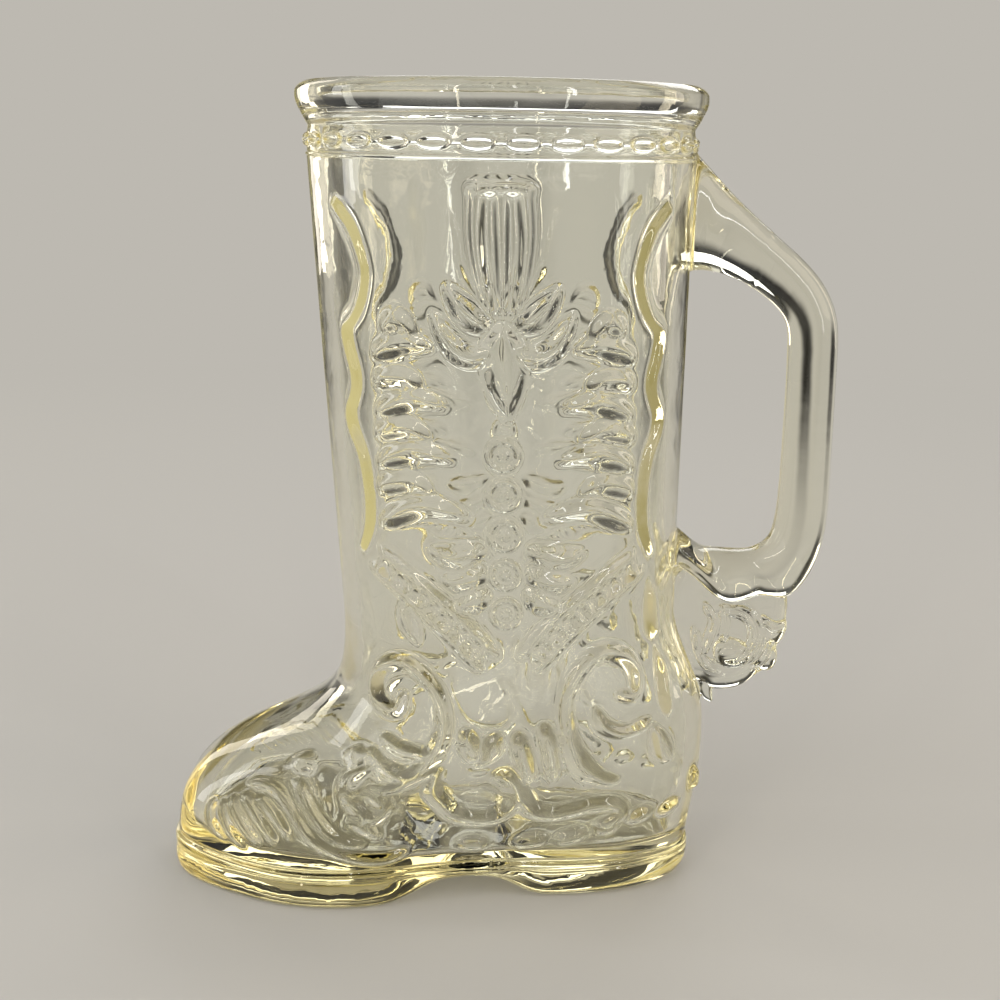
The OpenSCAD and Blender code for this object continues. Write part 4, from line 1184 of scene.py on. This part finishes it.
def pressedGlass():
    material = bpy.data.materials.new("pressedSodaLimeGlass")
    material.use_nodes = True
    tree = material.node_tree
    tree.nodes.clear()
    place = addNode(tree, "ShaderNodeTexCoord").outputs["Object"]
    normal = None
    for kind in ("wave", "ripple"):
        noise = addNode(tree, "ShaderNodeTexNoise", {
            "Vector": place, "Scale": 1 / (glass[kind + "Size"] * mm), "Detail": 1.0,
        })
        bump = {"Height": noise.outputs[0], "Strength": 1.0, "Distance": glass[kind] * mm}
        if normal is not None:
            bump["Normal"] = normal
        normal = addNode(tree, "ShaderNodeBump", bump).outputs[0]
    skin = addNode(tree, "ShaderNodeBsdfPrincipled", {
        "Base Color": linear(glass["tint"]), "Roughness": glass["roughness"], "IOR": glass["ior"],
        "Transmission Weight": 1.0, "Normal": normal,
    })
    # lamps reach the floor through the glass, less at its steep edges, which gives the soft ringed shadow
    edge = addNode(tree, "ShaderNodeLayerWeight", {"Blend": glass["edgeBlend"]})
    dim = addNode(tree, "ShaderNodeMapRange", {
        "Value": edge.outputs["Facing"], "To Min": glass["passFlat"], "To Max": glass["passSteep"],
    })
    fused = addNode(tree, "ShaderNodeAttribute", attribute_name="fused").outputs["Fac"]
    guided = guidedLight(tree)
    passing = largerOf(tree, largerOf(tree, dim.outputs[0], fused), guided)
    clear = addNode(tree, "ShaderNodeBsdfTransparent", {"Color": passing})
    shadow = addNode(tree, "ShaderNodeLightPath").outputs["Is Shadow Ray"]
    share = largerOf(tree, largerOf(tree, fused, shadow), guided)
    surface = addNode(tree, "ShaderNodeMixShader", {0: share, 1: skin.outputs[0], 2: clear.outputs[0]})
    depth = addNode(tree, "ShaderNodeVolumeAbsorption", {
        "Color": linear(glass["depthColour"]), "Density": glass["density"],
    })
    addNode(tree, "ShaderNodeOutputMaterial", {"Surface": surface.outputs[0], "Volume": depth.outputs[0]})
    return material


glassMaterial = pressedGlass()
standsFor = {
    "rim_roll": ["rim_lip"],
    "chain_band": ["neck_band", "band_links", "band_bead"],
    "shaft_glass": ["shaft_wall", "pull_straps", "lily_leaves", "lily_pendants", "concho_columns",
                    "front_leaf_sprays", "rear_leaf_sprays", "front_piping", "rear_piping",
                    "front_vee_straps", "rear_vee_straps", "lower_petals"],
    "foot_glass": ["foot_wall", "front_scrolls", "rear_scrolls", "waist_scrolls", "ankle_leaves",
                   "counter_panels", "heel_chain", "toe_flames", "toe_scrolls"],
    "sole_glass": ["sole"],
    "heel_glass": ["heel"],
    "handle_upper_glass": ["handle_upper_arm"],
    "handle_grip_glass": ["handle_grip"],
    "handle_lower_glass": ["handle_lower_arm"],
    "spur_glass": ["spur_rowel", "spur_hub", "spur_shank", "spur_drop"],
}
for name, piece in sections.items():
    piece.data.materials.clear()
    piece.data.materials.append(glassMaterial)
    piece.data.polygons.foreach_set("material_index", [0] * len(piece.data.polygons))
    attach(piece, "root")
    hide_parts(*standsFor[name])

# Studio
print("floor, light and camera")
studio = {
    # a round floor, which fades into the backdrop between two distances, in metres
    "floor": "#D0CCC5", "floorSize": 8.0, "floorRough": 0.75, "fadeFrom": 0.20, "fadeTo": 1.0,
    "backdrop": "#BDB9B1", "air": "#C9CBCC", "airStrength": 0.55,
    # painted light: light guided in the glass ends between these painted straw tones, by how far it points
    # this way
    "paintedGuidedLightLow": "#9C946E", "paintedGuidedLightHigh": "#DDD6AC", "paintedGuidedLightWay": (0.7, 0.0, 0.7), "paintedGuidedLightReach": 0.5,
    # dark cards: colour, and the shares of a ray's way between which each begins, is full, and ends again
    "above": ["#2A2B2C", 0.10, 0.28, 2.0, 3.0], "sides": ["#1F1E1C", 0.21, 0.33, 0.43, 0.57],
}


def showsBackdrop(tree):
    # camera, mirror and glass rays see the backdrop; the light on things comes from the lamps and the air
    path = addNode(tree, "ShaderNodeLightPath").outputs
    seen = largerOf(tree, path["Is Camera Ray"], path["Is Glossy Ray"])
    return largerOf(tree, seen, path["Is Transmission Ray"])


def offBackdrop(tree, way, axis):
    # how far a ray points to the side or up, but none for the camera and for light guided in the glass
    straight = addNode(tree, "ShaderNodeVectorMath", {0: way}, operation="NORMALIZE").outputs["Vector"]
    part = addNode(tree, "ShaderNodeSeparateXYZ", {0: straight}).outputs[axis]
    if axis == "X":
        part = addNode(tree, "ShaderNodeMath", {0: part}, operation="ABSOLUTE").outputs[0]
    camera = addNode(tree, "ShaderNodeLightPath").outputs["Is Camera Ray"]
    plain = largerOf(tree, camera, guidedLight(tree))
    rest = addNode(tree, "ShaderNodeMath", {0: 1.0, 1: plain}, operation="SUBTRACT")
    return addNode(tree, "ShaderNodeMath", {0: part, 1: rest.outputs[0]}, operation="MULTIPLY").outputs[0]


def blended(tree, share, first, second):
    # one colour going over to another
    return addNode(tree, "ShaderNodeMix", {0: share, 6: first, 7: second}, data_type="RGBA").outputs[2]


def backdropOrPaintedGuidedLight(tree, way):
    # painted light: light guided in the glass ends in painted straw tones, a painted highlight lighter to the
    # right and up; other rays see the backdrop
    straight = addNode(tree, "ShaderNodeVectorMath", {0: way}, operation="NORMALIZE").outputs["Vector"]
    lean = addNode(tree, "ShaderNodeVectorMath", {
        0: straight, 1: studio["paintedGuidedLightWay"],
    }, operation="DOT_PRODUCT")
    reach = studio["paintedGuidedLightReach"]
    share = addNode(tree, "ShaderNodeMapRange", {
        "Value": lean.outputs["Value"], "From Min": -reach, "From Max": reach,
    })
    tone = blended(tree, share.outputs[0], linear(studio["paintedGuidedLightLow"]), linear(studio["paintedGuidedLightHigh"]))
    return blended(tree, guidedLight(tree), linear(studio["backdrop"]), tone)


def betweenCards(tree, amount, colour, name):
    # the colour goes over to that of a dark card as an amount passes its edges, and back again beyond it
    card, begin, full, last, end = studio[name]
    into = addNode(tree, "ShaderNodeMapRange", {
        "Value": amount, "From Min": begin, "From Max": full,
    }, interpolation_type="SMOOTHSTEP")
    out = addNode(tree, "ShaderNodeMapRange", {
        "Value": amount, "From Min": last, "From Max": end, "To Min": 1.0, "To Max": 0.0,
    }, interpolation_type="SMOOTHSTEP")
    share = addNode(tree, "ShaderNodeMath", {0: into.outputs[0], 1: out.outputs[0]}, operation="MULTIPLY")
    return blended(tree, share.outputs[0], colour, linear(card))


def paleFloor():
    # board painted with matt emulsion: even and without shine. It lies a hair under the sole
    bm = bmesh.new()
    bmesh.ops.create_circle(bm, cap_ends=True, radius=studio["floorSize"], segments=96)
    mesh = bpy.data.meshes.new("studioFloor")
    bm.to_mesh(mesh)
    bm.free()
    mesh.transform(Matrix.Translation((0, 0, -0.0002)))
    floor = bpy.data.objects.new("studioFloor", mesh)
    scene.collection.objects.link(floor)
    material = bpy.data.materials.new("paintedStudioFloor")
    material.use_nodes = True
    tree = material.node_tree
    tree.nodes.clear()
    skin = addNode(tree, "ShaderNodeBsdfPrincipled", {
        "Base Color": linear(studio["floor"]), "Roughness": studio["floorRough"],
    })
    # far off, the floor fades into the backdrop, so that no edge shows behind the glass
    place = addNode(tree, "ShaderNodeTexCoord").outputs["Object"]
    away = addNode(tree, "ShaderNodeVectorMath", {0: place}, operation="LENGTH").outputs["Value"]
    fade = addNode(tree, "ShaderNodeMapRange", {
        "Value": away, "From Min": studio["fadeFrom"], "From Max": studio["fadeTo"],
    }, interpolation_type="SMOOTHSTEP")
    share = addNode(tree, "ShaderNodeMath", {0: fade.outputs[0], 1: showsBackdrop(tree)}, operation="MULTIPLY")
    # mirror and glass rays see the dark side cards here, and light guided in the glass sees painted straw
    # light, lighter to the right and up
    colour = betweenCards(tree, offBackdrop(tree, place, "X"), backdropOrPaintedGuidedLight(tree, place), "sides")
    far = addNode(tree, "ShaderNodeEmission", {"Color": colour})
    surface = addNode(tree, "ShaderNodeMixShader", {
        0: share.outputs[0], 1: skin.outputs[0], 2: far.outputs[0],
    })
    addNode(tree, "ShaderNodeOutputMaterial", {"Surface": surface.outputs[0]})
    mesh.materials.append(material)


def studioLight():
    world = bpy.data.worlds.new("studioAir")
    world.use_nodes = True
    scene.world = world
    tree = world.node_tree
    tree.nodes.clear()
    # the glass is drawn by darker air at the sides and overhead, as between dark cards
    way = addNode(tree, "ShaderNodeTexCoord").outputs["Generated"]
    # light guided in the glass sees painted straw light in the air, lighter to the right and up
    colour = betweenCards(tree, offBackdrop(tree, way, "X"), backdropOrPaintedGuidedLight(tree, way), "sides")
    colour = betweenCards(tree, offBackdrop(tree, way, "Z"), colour, "above")
    backdrop = addNode(tree, "ShaderNodeBackground", {"Color": colour, "Strength": 1.0})
    air = addNode(tree, "ShaderNodeBackground", {
        "Color": linear(studio["air"]), "Strength": studio["airStrength"],
    })
    surface = addNode(tree, "ShaderNodeMixShader", {
        0: showsBackdrop(tree), 1: air.outputs[0], 2: backdrop.outputs[0],
    })
    addNode(tree, "ShaderNodeOutputWorld", {"Surface": surface.outputs[0]})


# Soft lamps: place, what each points at, width and height in metres, power in watts and colour
lamps = {
    "windowLight": [(-0.9, -0.9, 1.0), (0, 0, 0.1), (1.8, 1.8), 9, "#FFFFFF"],
    "fillLight": [(1.2, -0.5, 0.7), (0, 0, 0.1), (0.9, 0.9), 4, "#FFF1DC"],
    "backLight": [(0.3, 1.3, 0.9), (0, 0, 0.1), (1.2, 0.5), 5, "#FFFFFF"],
}
# Upright strip lamps round the glass give its long highlights: turn, height, width, power and colour
strips = {
    "away": 1.15, "tall": 0.9, "target": (0, 0, 0.12),
    "lamps": {
        "stripLeft": [172, 0.45, 0.20, 1.8, "#FFFFFF"], "stripBackLeft": [125, 0.45, 0.20, 1.4, "#FFF6E4"],
        "stripRight": [20, 0.45, 0.20, 1.8, "#FFF3DE"], "stripFrontRight": [308, 0.50, 0.04, 1.5, "#FFFFFF"],
        "stripFrontLeft": [245, 0.60, 0.04, 1.5, "#FFF6E4"], "stripFront": [277, 0.95, 0.05, 1.2, "#FFFFFF"],
    },
}
# The camera stands where the photograph was taken from: metres, millimetres of lens, and degrees
view = {"place": (0, -0.404, 0.1858), "lens": 58.32, "sensor": 36.0, "down": 12.4, "roll": 1.0}


def addLamp(name, place, target, size, power, colour):
    lamp = bpy.data.lights.new(name, "AREA")
    lamp.shape = "RECTANGLE"
    lamp.size, lamp.size_y = size
    lamp.energy = power
    lamp.color = linear(colour)[:3]
    item = bpy.data.objects.new(name, lamp)
    scene.collection.objects.link(item)
    item.location = place
    item.rotation_euler = (Vector(target) - Vector(place)).to_track_quat("-Z", "Y").to_euler()


def addCamera():
    camera = bpy.data.cameras.new("photoView")
    camera.lens = view["lens"]
    camera.sensor_width = view["sensor"]
    camera.clip_start = 0.01
    item = bpy.data.objects.new("photoView", camera)
    scene.collection.objects.link(item)
    tilt = Matrix.Rotation(math.radians(90 - view["down"]), 4, "X")
    roll = Matrix.Rotation(math.radians(view["roll"]), 4, "Z")
    item.matrix_world = Matrix.Translation(view["place"]) @ tilt @ roll
    scene.camera = item


paleFloor()
studioLight()
for name, settings in lamps.items():
    addLamp(name, *settings)
for name, (turn, high, wide, power, colour) in strips["lamps"].items():
    way = math.radians(turn)
    place = (strips["away"] * math.cos(way), strips["away"] * math.sin(way), high)
    addLamp(name, place, strips["target"], (wide, strips["tall"]), power, colour)
addCamera()
scene.view_settings.view_transform = "Standard"
bpy.context.view_layer.update()
